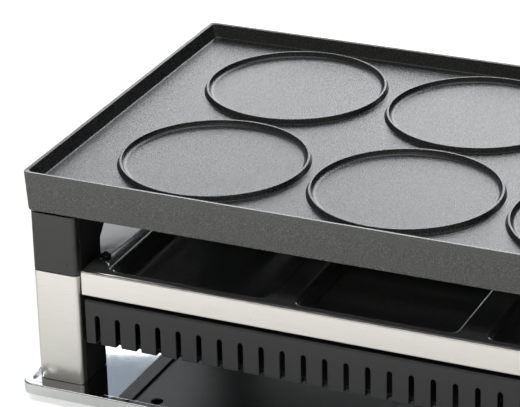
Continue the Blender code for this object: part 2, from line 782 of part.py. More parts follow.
def build_rails(mat):
    """Side rails between the posts, long rails on the caps, and the strips that carry the heater."""
    for label, sign in (("left", -1), ("right", 1)):
        outer = side_rail_outer_x
        drop = side_rail_under_z - SIDE_RAIL_DROP
        points = [
            (post_inner_x, side_rail_under_z),
            (post_inner_x, side_rail_top_z),
            (outer, side_rail_top_z),
            (outer, drop),
            (outer - SIDE_RAIL_SHEET, drop),
            (outer - SIDE_RAIL_SHEET, side_rail_under_z),
        ]
        end = post_inner_y - SEAT_GAP
        outline = [(sign * x, z) for x, z in points]
        dress(outline_solid(f"side_rail_{label}", outline, -end, end, "XZ"), mat)
    foot_y = half_depth - RAIL_INSET_Y
    end_x = half_length - RAIL_END_INSET
    for label, sign in (("front", -1), ("rear", 1)):
        points = [
            (foot_y, rail_bottom_z),
            (foot_y, rail_bottom_z + RAIL_HEIGHT),
            (foot_y - RAIL_SHEET, rail_bottom_z + RAIL_HEIGHT),
            (foot_y - RAIL_SHEET, rail_bottom_z + RAIL_SHEET),
            (foot_y - RAIL_FLANGE, rail_bottom_z + RAIL_SHEET),
            (foot_y - RAIL_FLANGE, rail_bottom_z),
        ]
        outline = [(sign * y, z) for y, z in points]
        dress(outline_solid(f"heater_rail_{label}", outline, -end_x, end_x, "YZ"), mat)
    first = -heater_straight_x() + STRIP_FROM_TURN
    pitch = -2 * first / (STRIP_COUNT - 1)
    for index in range(STRIP_COUNT):
        x = first + index * pitch
        outline = strip_outline(foot_y - RAIL_SHEET - SEAT_GAP)
        strip = outline_solid(f"heater_strip_{index + 1}", outline, x - STRIP_WIDTH / 2,
                              x + STRIP_WIDTH / 2, "YZ")
        dress(strip, mat)


def strip_outline(end_y):
    """A cross strip with a pair of ears on each side of every heater run."""
    ear_gap = HEATER_RADIUS + SEAT_GAP
    ear_top = strip_top_z + STRIP_EAR_HEIGHT
    points = [(-end_y, strip_bottom_z), (-end_y, strip_top_z)]
    for y in heater_run_places():
        for near, far in ((-ear_gap - STRIP_SHEET, -ear_gap), (ear_gap, ear_gap + STRIP_SHEET)):
            points += [(y + near, strip_top_z), (y + near, ear_top)]
            points += [(y + far, ear_top), (y + far, strip_top_z)]
    points += [(end_y, strip_top_z), (end_y, strip_bottom_z)]
    return points


def pan_places():
    """The centres of the pan recesses, and their half width and half depth."""
    columns = count_that_fits(2 * (post_inner_x - PAN_EDGE_SPACE), PAN_WIDTH, pan_pitch)
    row_depth = half_depth - DECK_INSET_Y - PAN_MARGIN_Y - PAN_MIDDLE_BAR / 2
    row_y = (PAN_MIDDLE_BAR + row_depth) / 2
    centres = [(x, sign * row_y) for sign in (-1, 1) for x in centred_places(columns, pan_pitch)]
    return centres, PAN_WIDTH / 2, row_depth / 2


def build_pan_deck(mat):
    """The deck: one sheet notched round the posts, with a pressed recess for each pan."""
    end_x = half_length - DECK_INSET_X
    end_y = half_depth - DECK_INSET_Y
    notch_x = post_inner_x - SEAT_GAP
    notch_y = post_inner_y - SEAT_GAP
    deck = notched_sheet("pan_deck", (end_x, notch_x), (end_y, notch_y), deck_under_z, deck_top_z)
    hem_low = deck_top_z - DECK_HEM_HEIGHT
    hem_end = notch_y - DECK_HEM_END
    hem_x = end_x - DECK_HEM_SET
    hems = []
    for sign in (-1, 1):
        hems.append(((sign * hem_x, -hem_end, hem_low),
                     (sign * (hem_x - DECK_SHEET), hem_end, deck_top_z - JOIN_DEPTH)))
    cut(deck, joined_boxes("deck_hems", hems), "UNION")
    cut(deck, build_pan_shapes("pan_dishes", DECK_SHEET), "UNION")
    cut(deck, build_pan_shapes("pan_pockets", 0))
    cut(deck, build_screw_holes())
    return dress(deck, mat, 40)


def build_pan_shapes(name, wall):
    """The outer dishes where wall is the sheet, or the pockets to cut where it is zero."""
    centres, half_x, half_y = pan_places()
    floor = deck_top_z - PAN_RECESS - wall
    rim = PAN_RIM_BREAK
    bm = bmesh.new()
    for centre in centres:
        sections = [(PAN_DRAFT - wall, floor)]
        if wall:
            sections.append((-wall, deck_under_z + JOIN_DEPTH))
        else:
            sections.append((0, deck_top_z - rim))
            sections.append((-rim * PAN_RIM_SHARE, deck_top_z - rim * PAN_RIM_SHARE))
            sections.append((-rim, deck_top_z))
            sections.append((-rim, deck_top_z + CUT_OVERRUN))
        rings = [(half_x - inset, half_y - inset, PAN_CORNER - inset / 2, z, centre)
                 for inset, z in sections]
        add_loft(bm, rings, PAN_CORNER_STEPS)
    return new_object(name, mesh_from(bm, name), CUTTERS_NAME)


def screw_places():
    """A deck screw beside the inner corner of each post."""
    x = post_inner_x - SCREW_FROM_POST_X
    y = post_inner_y + SCREW_FROM_POST_Y
    return {f"{row}_{side}": (sign_x * x, sign_y * y)
            for row, sign_y in (("front", -1), ("rear", 1))
            for side, sign_x in (("left", -1), ("right", 1))}


def build_screw_holes():
    """Clearance holes for the deck screws."""
    bm = bmesh.new()
    radius = SCREW_SHANK_RADIUS + HOLE_CLEARANCE
    for x, y in screw_places().values():
        place = Matrix.Translation((x, y, deck_top_z - DECK_SHEET / 2))
        bmesh.ops.create_cone(bm, cap_ends=True, segments=SMALL_HOLE_STEPS, radius1=radius,
                              radius2=radius, depth=DECK_SHEET + 2 * CUT_OVERRUN, matrix=place)
    return new_object("deck_screw_holes", mesh_from(bm, "deck_screw_holes", False), CUTTERS_NAME)


def build_deck_screws(mat):
    """Round-headed screws with a hexagon socket."""
    head = SCREW_HEAD_RADIUS
    height = SCREW_HEAD_HEIGHT
    profile = [(0, SEAT_GAP + height)]
    for step in (1, 2, 3):
        angle = math.radians(90 - 30 * step)
        profile.append((head * math.cos(angle), SEAT_GAP + height * math.sin(angle)))
    profile += [(SCREW_SHANK_RADIUS, SEAT_GAP), (SCREW_SHANK_RADIUS, -SCREW_LENGTH), (0, -SCREW_LENGTH)]
    for label, (x, y) in screw_places().items():
        mesh = turned_mesh(f"deck_screw_{label}", profile, TURN_STEPS // 2)
        screw = new_object(f"deck_screw_{label}", mesh)
        screw.location = (x, y, deck_top_z)
        bm = bmesh.new()
        depth = SCREW_HEX_DEPTH + CUT_OVERRUN
        top = deck_top_z + SEAT_GAP + height
        place = Matrix.Translation((x, y, top - SCREW_HEX_DEPTH + depth / 2))
        bmesh.ops.create_cone(bm, cap_ends=True, segments=6, radius1=SCREW_HEX_RADIUS,
                              radius2=SCREW_HEX_RADIUS, depth=depth, matrix=place)
        socket = new_object(f"deck_screw_{label}_socket", mesh_from(bm, "socket", False), CUTTERS_NAME)
        cut(screw, socket)
        dress(screw, mat, 40)


def channel_outline(front, top, bottom, top_flange, bottom_flange, sheet, bend):
    """A C-shaped sheet seen from its end, open at the back, its face at a distance from the middle."""
    outer = [(top_flange, top)]
    outer += arc((bend, top - bend), bend, 90, 180, CORNER_STEPS // 2)
    outer += arc((bend, bottom + bend), bend, 180, 270, CORNER_STEPS // 2)
    outer.append((bottom_flange, bottom))
    inner = [(bottom_flange, bottom + sheet), (sheet, bottom + sheet), (sheet, top - sheet),
             (top_flange, top - sheet)]
    return [(front - back, z) for back, z in outer + inner]


def build_trims(mats):
    """Steel trim strips on the front and the back, each on a flat bar between the posts."""
    face = half_depth - TRIM_INSET_Y
    outline = channel_outline(face, trim_top_z, trim_bottom_z, TRIM_FLANGE, TRIM_FLANGE,
                              TRIM_SHEET, TRIM_BEND)
    bar_outer = face - TRIM_FLANGE - SEAT_GAP
    bar_inner = bar_outer - BAR_SHEET
    bar_top = deck_under_z - SEAT_GAP
    for label, sign in (("front", -1), ("rear", 1)):
        points = [(sign * y, z) for y, z in outline]
        trim = outline_solid(f"trim_{label}", points, -trim_end_x, trim_end_x, "YZ")
        dress(trim, mats["brushed_steel"], 40)
        faces = sorted((sign * bar_outer, sign * bar_inner))
        end = post_inner_x - SEAT_GAP
        bar = box_solid(f"frame_bar_{label}", (-end, faces[0], bar_top - BAR_HEIGHT),
                        (end, faces[1], bar_top))
        dress(bar, mats["dark_sheet"])


def build_vent_panels(mat):
    """Slotted panels on the front and the back, bent back above and below."""
    face = half_depth - VENT_INSET_Y
    outline = channel_outline(face, vent_top_z, vent_bottom_z, VENT_TOP_FLANGE, VENT_BOTTOM_FLANGE,
                              VENT_SHEET, VENT_BEND)
    for label, sign in (("front", -1), ("rear", 1)):
        points = [(sign * y, z) for y, z in outline]
        panel = outline_solid(f"vent_panel_{label}", points, -vent_end_x, vent_end_x, "YZ")
        cut(panel, build_slots(label, sign, face))
        dress(panel, mat, 40)


def build_slots(label, sign, face):
    """A row of slots with round tops, open through the bend at the bottom."""
    room = 2 * (vent_end_x - SLOT_END_SPACE)
    count = count_that_fits(room, SLOT_WIDTH, SLOT_PITCH)
    radius = SLOT_WIDTH / 2
    top = vent_top_z - SLOT_TOP_DROP
    low = vent_bottom_z - CUT_OVERRUN
    outer = face + CUT_OVERRUN
    inner = face - VENT_SHEET - SLOT_UNDER_CUT
    faces = sorted((sign * outer, sign * inner))
    bm = bmesh.new()
    for x in centred_places(count, SLOT_PITCH):
        outline = [(x - radius, low), (x + radius, low)]
        outline += arc((x, top - radius), radius, 0, 180, SLOT_TOP_STEPS)
        front = [bm.verts.new((px, faces[0], pz)) for px, pz in outline]
        back = [bm.verts.new((px, faces[1], pz)) for px, pz in outline]
        bm.faces.new(front)
        bm.faces.new(back[::-1])
        for i in range(len(outline)):
            j = (i + 1) % len(outline)
            bm.faces.new((front[i], back[i], back[j], front[j]))
    return new_object(f"vent_slots_{label}", mesh_from(bm, "slots"), CUTTERS_NAME)


def build_housing_ends(mat):
    """End walls of the slotted housing, with a flange below that carries the heat shield."""
    room_y = half_depth - VENT_INSET_Y - max(VENT_TOP_FLANGE, VENT_BOTTOM_FLANGE) - SEAT_GAP
    top = deck_under_z - SEAT_GAP
    outer = vent_end_x
    inner = outer - END_WALL_SHEET
    flange = outer - END_WALL_FLANGE
    points = [
        (outer, vent_bottom_z),
        (outer, top),
        (inner, top),
        (inner, vent_bottom_z + END_WALL_SHEET),
        (flange, vent_bottom_z + END_WALL_SHEET),
        (flange, vent_bottom_z),
    ]
    for label, sign in (("left", -1), ("right", 1)):
        outline = [(sign * x, z) for x, z in points]
        wall = outline_solid(f"housing_end_{label}", outline, -room_y, room_y, "XZ")
        dress(wall, mat)


def build_heat_shield(mat):
    """The sheet that closes the housing below, with a row of air holes near each long edge."""
    low = vent_bottom_z + max(VENT_SHEET, END_WALL_SHEET) + SEAT_GAP
    end_x = vent_end_x - END_WALL_SHEET - SEAT_GAP
    end_y = half_depth - VENT_INSET_Y - VENT_SHEET - SLOT_UNDER_CUT - SEAT_GAP
    shield = box_solid("heat_shield", (-end_x, -end_y, low), (end_x, end_y, low + SHIELD_SHEET))
    count = count_that_fits(2 * (end_x - END_WALL_FLANGE), 2 * SHIELD_HOLE_RADIUS, SHIELD_HOLE_PITCH)
    row_y = half_depth - SHIELD_HOLE_INSET_Y
    bm = bmesh.new()
    for x in centred_places(count, SHIELD_HOLE_PITCH):
        for y in (-row_y, row_y):
            place = Matrix.Translation((x, y, low + SHIELD_SHEET / 2))
            bmesh.ops.create_cone(bm, cap_ends=True, segments=SMALL_HOLE_STEPS, matrix=place,
                                  radius1=SHIELD_HOLE_RADIUS, radius2=SHIELD_HOLE_RADIUS,
                                  depth=SHIELD_SHEET + 2 * CUT_OVERRUN)
    cut(shield, new_object("shield_holes", mesh_from(bm, "shield_holes", False), CUTTERS_NAME))
    return dress(shield, mat)


def build_base_tray(mat):
    """The bright tray under everything: a flat floor, a narrow raised rim and a turned-down lip."""
    outer_x = half_length + TRAY_OVERHANG_X
    outer_y = half_depth + TRAY_OVERHANG_Y
    rim_z = tray_floor_z + TRAY_RIM_RISE
    sheet = TRAY_SHEET
    rim_in = TRAY_RIM_WIDTH
    floor_in = TRAY_RIM_WIDTH + TRAY_RIM_DRAFT
    edge = sheet / 2
    sections = [
        (floor_in + edge, tray_under_z),
        (rim_in + edge, rim_z - sheet),
        (sheet, rim_z - sheet),
        (sheet, rim_z - TRAY_LIP),
        (0, rim_z - TRAY_LIP),
        (0, rim_z - edge),
        (edge, rim_z),
        (rim_in, rim_z),
        (floor_in, tray_floor_z),
    ]
    rings = [(outer_x - inset, outer_y - inset, TRAY_CORNER - inset / 2, z, (0, 0))
             for inset, z in sections]
    return dress(loft("base_tray", rings), mat, 30)


def build_feet(mat):
    """Four rubber feet with a hollow for the screw in each underside."""
    edge = FOOT_EDGE_BREAK
    narrow = FOOT_RADIUS - FOOT_DRAFT
    profile = [
        (0, FOOT_HEIGHT),
        (FOOT_RADIUS, FOOT_HEIGHT),
        (narrow, edge),
        (narrow - edge, 0),
        (FOOT_DIMPLE_RADIUS, 0),
        (FOOT_DIMPLE_RADIUS, FOOT_DIMPLE_DEPTH),
        (0, FOOT_DIMPLE_DEPTH),
    ]
    x = half_length - FOOT_INSET_X
    y = half_depth - FOOT_INSET_Y
    for row, sign_y in (("front", -1), ("rear", 1)):
        for side, sign_x in (("left", -1), ("right", 1)):
            name = f"foot_{row}_{side}"
            foot = new_object(name, turned_mesh(name, profile, FOOT_STEPS))
            foot.location = (sign_x * x, sign_y * y, 0)
            dress(foot, mat, 40)


def build_control_housing(mat):
    """The moulded box at the right end, open towards the slotted housing, with holes in its face."""
    half_y = control_half_y
    half_z = (control_top_z - control_bottom_z) / 2
    outline = [(y, control_mid_z + z) for y, z in rounded_rectangle(half_y, half_z, CONTROL_CORNER)]
    housing = outline_solid("control_housing", outline, control_inner_x, control_face_x, "YZ")
    wall = CONTROL_WALL
    inside = rounded_rectangle(half_y - wall, half_z - wall, CONTROL_CORNER - wall)
    pocket = outline_solid("control_pocket", [(y, control_mid_z + z) for y, z in inside],
                           control_inner_x - CUT_OVERRUN, control_back_x, "YZ", CUTTERS_NAME)
    cut(housing, pocket)
    low = control_back_x - CUT_OVERRUN
    high = control_face_x + CUT_OVERRUN
    cut(housing, cylinder_cutter("shaft_hole", SHAFT_RADIUS + HOLE_CLEARANCE, low, high,
                                 knob_y, control_mid_z))
    cut(housing, cylinder_cutter("lamp_hole", LAMP_RADIUS + HOLE_CLEARANCE, low, high,
                                 lamp_y, control_mid_z))
    windows = []
    for centre_y, width, height in ((switch_y, SWITCH_WIDTH, SWITCH_HEIGHT),
                                    (inlet_y, INLET_WIDTH, INLET_HEIGHT)):
        reach_y = width / 2 + HOLE_CLEARANCE
        reach_z = height / 2 + HOLE_CLEARANCE
        windows.append(((low, centre_y - reach_y, control_mid_z - reach_z),
                        (high, centre_y + reach_y, control_mid_z + reach_z)))
    cut(housing, joined_boxes("control_windows", windows))
    return dress(housing, mat, 40)


def build_terminal_cover(mat):
    """The moulded cover over the heater's ends, standing on the deck between the right-hand posts."""
    inner = terminal_inner_x
    outer = terminal_outer_x
    end_y = post_inner_y - TERMINAL_POST_GAP
    bottom = deck_top_z + SEAT_GAP
    top = side_rail_under_z - TERMINAL_TOP_GAP
    cover = box_solid("terminal_cover", (inner, -end_y, bottom), (outer, end_y, top))
    bevel(cover, TERMINAL_EDGE_BREAK, 1)
    wall = TERMINAL_WALL
    pocket = box_solid("terminal_pocket", (inner + wall, -end_y + wall, bottom - CUT_OVERRUN),
                       (outer - wall, end_y - wall, top - wall), CUTTERS_NAME)
    cut(cover, pocket)
    runs = heater_run_places()
    bm = bmesh.new()
    radius = HEATER_RADIUS + HOLE_CLEARANCE
    for y in (runs[0], runs[-1]):
        place = Matrix.Translation((heater_terminal_x, y, top))
        bmesh.ops.create_cone(bm, cap_ends=True, segments=TURN_STEPS // 2, radius1=radius, radius2=radius,
                              depth=2 * (wall + CUT_OVERRUN), matrix=place)
    cut(cover, new_object("terminal_holes", mesh_from(bm, "terminal_holes", False), CUTTERS_NAME))
    return dress(cover, mat, 40)


def knob_end_x():
    """The knob's outer face."""
    return control_face_x + KNOB_FACE_GAP + KNOB_LENGTH


def build_thermostat(mats):
    """The thermostat body behind the face, its shaft with a flat, and the fluted knob."""
    front = control_back_x - SEAT_GAP
    back = control_inner_x + THERMOSTAT_BACK_GAP
    half = THERMOSTAT_SIZE / 2
    body = box_solid("thermostat_body", (back, knob_y - half, control_mid_z - half),
                     (front, knob_y + half, control_mid_z + half))
    bevel(body, THERMOSTAT_EDGE_BREAK, 1)
    bore = SHAFT_RADIUS + HOLE_CLEARANCE
    bore_end = front - SHAFT_IN_BODY - SEAT_GAP
    cut(body, cylinder_cutter("thermostat_bore", bore, bore_end, front + CUT_OVERRUN,
                              knob_y, control_mid_z))
    dress(body, mats["ceramic"])
    shaft_start = front - SHAFT_IN_BODY
    knob_start = control_face_x + KNOB_FACE_GAP
    shaft_end = knob_start + KNOB_BORE_DEPTH - SEAT_GAP
    build_shaft(shaft_start, shaft_end, mats["plated_steel"])
    build_knob(knob_start, mats["satin_black"])


def build_shaft(start, end, mat):
    """A round shaft with a flat for the knob."""
    flat = math.degrees(math.acos(SHAFT_FLAT_SHARE))
    steps = TURN_STEPS - CORNER_STEPS
    outline = arc((0, 0), SHAFT_RADIUS, flat, 360 - flat, steps)
    bm = bmesh.new()
    verts = [bm.verts.new((0, a, b)) for b, a in outline]
    face = bm.faces.new(verts)
    pushed = bmesh.ops.extrude_face_region(bm, geom=[face])
    moved = [item for item in pushed["geom"] if isinstance(item, bmesh.types.BMVert)]
    bmesh.ops.translate(bm, verts=moved, vec=(end - start, 0, 0))
    shaft = new_object("thermostat_shaft", mesh_from(bm, "thermostat_shaft"))
    shaft.location = (start, knob_y, control_mid_z)
    return dress(shaft, mat, 40)


def build_knob(start, mat):
    """A turned knob with a skirt, finger flutes round its grip and a groove as its mark."""
    round_edge = KNOB_EDGE_ROUND
    grip = KNOB_GRIP_RADIUS
    end = KNOB_LENGTH
    profile = [(0, end)]
    profile += arc((grip - round_edge, end - round_edge), round_edge, 90, 0, 3)
    profile += [(grip, KNOB_SKIRT_LENGTH), (KNOB_RADIUS, KNOB_SKIRT_LENGTH / 2), (KNOB_RADIUS, 0)]
    bore = SHAFT_RADIUS + HOLE_CLEARANCE
    profile += [(bore, 0), (bore, KNOB_BORE_DEPTH), (0, KNOB_BORE_DEPTH)]
    mesh = turned_mesh("thermostat_knob", profile)
    mesh.transform(along_x((0, 0, 0)))
    knob = new_object("thermostat_knob", mesh)
    knob.location = (start, knob_y, control_mid_z)
    bm = bmesh.new()
    length = KNOB_LENGTH - KNOB_SKIRT_LENGTH + CUT_OVERRUN
    middle = start + KNOB_SKIRT_LENGTH + length / 2
    for i in range(KNOB_FLUTES):
        angle = math.tau * (i + 0.5) / KNOB_FLUTES
        reach = grip + KNOB_FLUTE_RADIUS / 2
        flute_y = knob_y + reach * math.sin(angle)
        flute_z = control_mid_z + reach * math.cos(angle)
        place = along_x((middle, flute_y, flute_z))
        bmesh.ops.create_cone(bm, cap_ends=True, segments=TURN_STEPS // 4, radius1=KNOB_FLUTE_RADIUS,
                              radius2=KNOB_FLUTE_RADIUS, depth=length, matrix=place)
    cut(knob, new_object("knob_flutes", mesh_from(bm, "knob_flutes", False), CUTTERS_NAME))
    half = KNOB_MARK_WIDTH / 2
    face = start + KNOB_LENGTH
    mark_low = control_mid_z + grip * KNOB_MARK_SHARE
    mark = box_solid("knob_mark", (face - KNOB_MARK_DEPTH, knob_y - half, mark_low),
                     (face + CUT_OVERRUN, knob_y + half, control_mid_z + grip + CUT_OVERRUN),
                     CUTTERS_NAME)
    cut(knob, mark)
    return dress(knob, mat, 40)


def build_switch(mats):
    """A rocker switch: a frame through the face, and a rocker on a pivot along Y."""
    half_y = SWITCH_WIDTH / 2
    half_z = SWITCH_HEIGHT / 2
    seat = control_face_x + SEAT_GAP
    front = seat + SWITCH_FLANGE
    lip = SWITCH_FLANGE_LIP
    flange = [(switch_y + y, control_mid_z + z)
              for y, z in rounded_rectangle(half_y + lip, half_z + lip, lip)]
    frame = outline_solid("switch_frame", flange, seat, front, "YZ")
    back = front - SWITCH_BODY_DEPTH
    sleeve = box_solid("switch_sleeve", (back, switch_y - half_y, control_mid_z - half_z),
                       (seat + JOIN_DEPTH, switch_y + half_y, control_mid_z + half_z), CUTTERS_NAME)
    cut(frame, sleeve, "UNION")
    wall = SWITCH_WALL
    open_y = half_y - wall
    open_z = half_z - wall
    window = box_solid("switch_window",
                       (back - CUT_OVERRUN, switch_y - open_y, control_mid_z - open_z),
                       (front + CUT_OVERRUN, switch_y + open_y, control_mid_z + open_z),
                       CUTTERS_NAME)
    cut(frame, window)
    dress(frame, mats["satin_black"], 40)
    reach = half_z - wall - ROCKER_END_GAP
    width = half_y - wall - ROCKER_SIDE_GAP
    outline = [
        (ROCKER_PROUD, reach),
        (ROCKER_PROUD - ROCKER_DISH, 0),
        (ROCKER_PROUD, -reach),
        (-ROCKER_BACK, -reach * ROCKER_BACK_SHARE),
        (-ROCKER_BACK, reach * ROCKER_BACK_SHARE),
    ]
    rocker = outline_solid("switch_rocker", outline, -width, width, "XZ")
    rocker.matrix_world = (Matrix.Translation((seat - ROCKER_PIVOT_IN, switch_y, control_mid_z))
                           @ Matrix.Rotation(math.radians(-ROCKER_TILT_DEG), 4, "Y"))
    return dress(rocker, mats["gloss_black"])


def build_lamp(mat):
    """A small round indicator lens, pushed into the face."""
    body = LAMP_RADIUS
    flange = LAMP_FLANGE_RADIUS
    rise = SEAT_GAP + LAMP_FLANGE
    profile = [(0, rise + LAMP_DOME)]
    for angle in (60, 30, 0):
        turn = math.radians(angle)
        profile.append((body * math.cos(turn), rise + LAMP_DOME * math.sin(turn)))
    profile += [(flange, rise), (flange, SEAT_GAP), (body, SEAT_GAP)]
    profile += [(body, -LAMP_BODY_DEPTH), (0, -LAMP_BODY_DEPTH)]
    mesh = turned_mesh("indicator_lens", profile, TURN_STEPS // 2)
    mesh.transform(along_x((0, 0, 0)))
    lens = new_object("indicator_lens", mesh)
    lens.location = (control_face_x, lamp_y, control_mid_z)
    return dress(lens, mat, 40)


def build_inlet(mats):
    """The power inlet: a flanged socket with three blades standing in it."""
    half_y = INLET_WIDTH / 2
    half_z = INLET_HEIGHT / 2
    seat = control_face_x + SEAT_GAP
    front = seat + INLET_FLANGE
    back = control_inner_x + INLET_BACK_GAP
    base = back + INLET_BASE
    lip = INLET_FLANGE_LIP
    place = [(inlet_y + y, control_mid_z + z)
             for y, z in rounded_rectangle(half_y + lip, half_z + lip, INLET_CORNER)]
    inlet = outline_solid("power_inlet", place, seat, front, "YZ")
    sleeve = box_solid("inlet_sleeve", (back, inlet_y - half_y, control_mid_z - half_z),
                       (seat + JOIN_DEPTH, inlet_y + half_y, control_mid_z + half_z), CUTTERS_NAME)
    cut(inlet, sleeve, "UNION")
    wall = INLET_WALL
    inside = rounded_rectangle(half_y - wall, half_z - wall, INLET_CORNER)
    cavity = outline_solid("inlet_cavity", [(inlet_y + y, control_mid_z + z) for y, z in inside],
                           base, front + CUT_OVERRUN, "YZ", CUTTERS_NAME)
    cut(inlet, cavity)
    blades = {
        "inlet_blade_left": (-BLADE_SPREAD, -BLADE_DROP),
        "inlet_blade_right": (BLADE_SPREAD, -BLADE_DROP),
        "inlet_blade_earth": (0, BLADE_EARTH_RISE - BLADE_DROP),
    }
    holes = []
    for name, (y, z) in blades.items():
        half_thick = BLADE_THICKNESS / 2
        half_high = BLADE_HEIGHT / 2
        low = (back + SEAT_GAP, inlet_y + y - half_thick, control_mid_z + z - half_high)
        high = (front - BLADE_SHORTFALL, inlet_y + y + half_thick, control_mid_z + z + half_high)
        blade = box_solid(name, low, high)
        dress(blade, mats["plated_steel"])
        gap = HOLE_CLEARANCE
        holes.append(((back - CUT_OVERRUN, low[1] - gap, low[2] - gap),
                      (base + CUT_OVERRUN, high[1] + gap, high[2] + gap)))
    cut(inlet, joined_boxes("blade_slots", holes))
    return dress(inlet, mats["matte_black"], 40)


def build_terminal_block(mat):
    """The terminal block on the floor of the control housing, with its wire ways."""
    centre_y = (switch_y + SWITCH_WIDTH / 2 + inlet_y - INLET_WIDTH / 2) / 2
    low_z = control_bottom_z + CONTROL_WALL + SEAT_GAP
    back = control_inner_x + SEAT_GAP
    half = (inlet_y - INLET_WIDTH / 2 - switch_y - SWITCH_WIDTH / 2) / 2 - HOLE_CLEARANCE
    half = min(half, BLOCK_LENGTH / 2)
    block = box_solid("terminal_block", (back, centre_y - half, low_z),
                      (back + BLOCK_WIDTH, centre_y + half, low_z + BLOCK_HEIGHT))
    bevel(block, BLOCK_EDGE_BREAK, 1)
    bm = bmesh.new()
    for place in centred_places(BLOCK_WAYS, 2 * half / BLOCK_WAYS):
        way = along_x((back + BLOCK_WIDTH / 2, centre_y + place, low_z + BLOCK_HEIGHT / 2))
        bmesh.ops.create_cone(bm, cap_ends=True, segments=TURN_STEPS // 4, radius1=BLOCK_HOLE_RADIUS,
                              radius2=BLOCK_HOLE_RADIUS, depth=BLOCK_WIDTH + 2 * CUT_OVERRUN, matrix=way)
    cut(block, new_object("block_ways", mesh_from(bm, "block_ways", False), CUTTERS_NAME))
    return dress(block, mat)


def make_materials():
    """The finishes, in linear colour."""
    return {
        "cast_coating": material("cast_coating", (0.22, 0.22, 0.22), 0.5, 0.3),
        "satin_black": material("satin_black", (0.02, 0.02, 0.02), 0.4),
        "gloss_black": material("gloss_black", (0.012, 0.012, 0.012), 0.2),
        "matte_black": material("matte_black", (0.015, 0.015, 0.015), 0.6),
        "black_moulding": material("black_moulding", (0.01, 0.01, 0.01), 0.5),
        "black_enamel": material("black_enamel", (0.006, 0.006, 0.006), 0.12),
        "dark_sheet": material("dark_sheet", (0.04, 0.04, 0.04), 0.4),
        "brushed_steel": material("brushed_steel", (0.66, 0.65, 0.62), 0.32, 1.0),
        "bright_steel": material("bright_steel", (0.78, 0.78, 0.78), 0.15, 1.0),
        "plated_steel": material("plated_steel", (0.55, 0.55, 0.54), 0.4, 1.0),
        "heater_metal": material("heater_metal", (0.16, 0.14, 0.12), 0.5, 0.8),
        "ceramic": material("ceramic", (0.7, 0.68, 0.62), 0.5),
        "rubber": material("rubber", (0.02, 0.02, 0.02), 0.8),
        "amber_lens": material("amber_lens", (0.7, 0.12, 0.02), 0.1),
    }


def build():
    """Make every piece of the grill."""
    clear_scene()
    mats = make_materials()
    build_grill_plate(mats["cast_coating"])
    for row, sign_y in (("front", -1), ("rear", 1)):
        for side, sign_x in (("left", -1), ("right", 1)):
            build_post(f"{row}_{side}", sign_x, sign_y, mats)
    build_heating_element(mats["heater_metal"])
    build_heater_ends(mats["heater_metal"])
    build_rails(mats["plated_steel"])
    build_pan_deck(mats["black_enamel"])
    build_deck_screws(mats["satin_black"])
    build_trims(mats)
    build_vent_panels(mats["dark_sheet"])
    build_housing_ends(mats["dark_sheet"])
    build_heat_shield(mats["dark_sheet"])
    build_base_tray(mats["bright_steel"])
    build_feet(mats["rubber"])
    build_control_housing(mats["matte_black"])
    build_terminal_cover(mats["matte_black"])
    build_thermostat(mats)
    build_switch(mats)
    build_lamp(mats["amber_lens"])
    build_inlet(mats)
    build_terminal_block(mats["ceramic"])
    count = len(bpy.data.collections[PARTS_NAME].objects)
    print(f"{count} pieces, {plate_top_z:.4f} m high, knob ends at x {knob_end_x():.4f} m")


build()
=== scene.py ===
# %% [markdown]
# # A raclette grill with a cast pancake plate
#
# The object is a long table grill. A cast plate with round wells lies on four square
# posts. Below it a glossy black deck takes the small pans, and under that come a steel
# trim strip, a dark slotted housing and a bright tray. The CAD model gives every solid
# its place. This lesson dresses those solids: it gives them their finishes, softens
# their edges, and makes the two richest pieces, the cast plate and the pressed deck,
# again in finer mesh code.

# %% Load the CAD frame
import math

import bmesh
import bpy
from mathutils import Matrix, Vector


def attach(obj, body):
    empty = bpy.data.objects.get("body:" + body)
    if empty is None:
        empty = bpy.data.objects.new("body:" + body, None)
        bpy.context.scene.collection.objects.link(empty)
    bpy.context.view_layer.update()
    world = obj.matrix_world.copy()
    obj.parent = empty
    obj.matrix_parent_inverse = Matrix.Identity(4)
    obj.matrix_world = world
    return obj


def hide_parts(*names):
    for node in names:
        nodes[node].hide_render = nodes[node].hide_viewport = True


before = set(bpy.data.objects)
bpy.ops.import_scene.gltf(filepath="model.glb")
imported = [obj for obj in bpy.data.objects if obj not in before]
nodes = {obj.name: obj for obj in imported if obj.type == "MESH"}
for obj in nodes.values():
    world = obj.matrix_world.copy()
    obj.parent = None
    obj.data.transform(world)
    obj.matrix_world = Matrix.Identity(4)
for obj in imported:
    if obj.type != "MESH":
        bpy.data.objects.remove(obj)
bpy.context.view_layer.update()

# %% [markdown]
# ## The camera
#
# The photograph was taken from the front right, a little above the plate, with a long
# lens. Its place could be set by eye, but then no line would fall where it should. It
# was worked out instead from the plate's straight edges and round wells, and the script
# repeats the result: one point, three angles and one focal length.

# %% Camera
CAMERA_PLACE = (0.39713, -1.18422, 0.67388)
CAMERA_AZIMUTH = 24.956353
CAMERA_ELEVATION = 24.676259
CAMERA_ROLL = -1.532666
FOCAL_MM = 190.195
SENSOR_MM = 36.0


def aim_camera(azimuth, elevation, roll):
    """The turn of a camera that looks down at the middle from those angles, in degrees."""
    around = math.radians(azimuth)
    above = math.radians(elevation)
    back = Vector((math.sin(around) * math.cos(above),
                   -math.cos(around) * math.cos(above),
                   math.sin(above)))
    right = Vector((0, 0, 1)).cross(back).normalized()
    up = back.cross(right)
    turn = Matrix((right, up, back)).transposed()
    return turn @ Matrix.Rotation(math.radians(roll), 3, "Z")


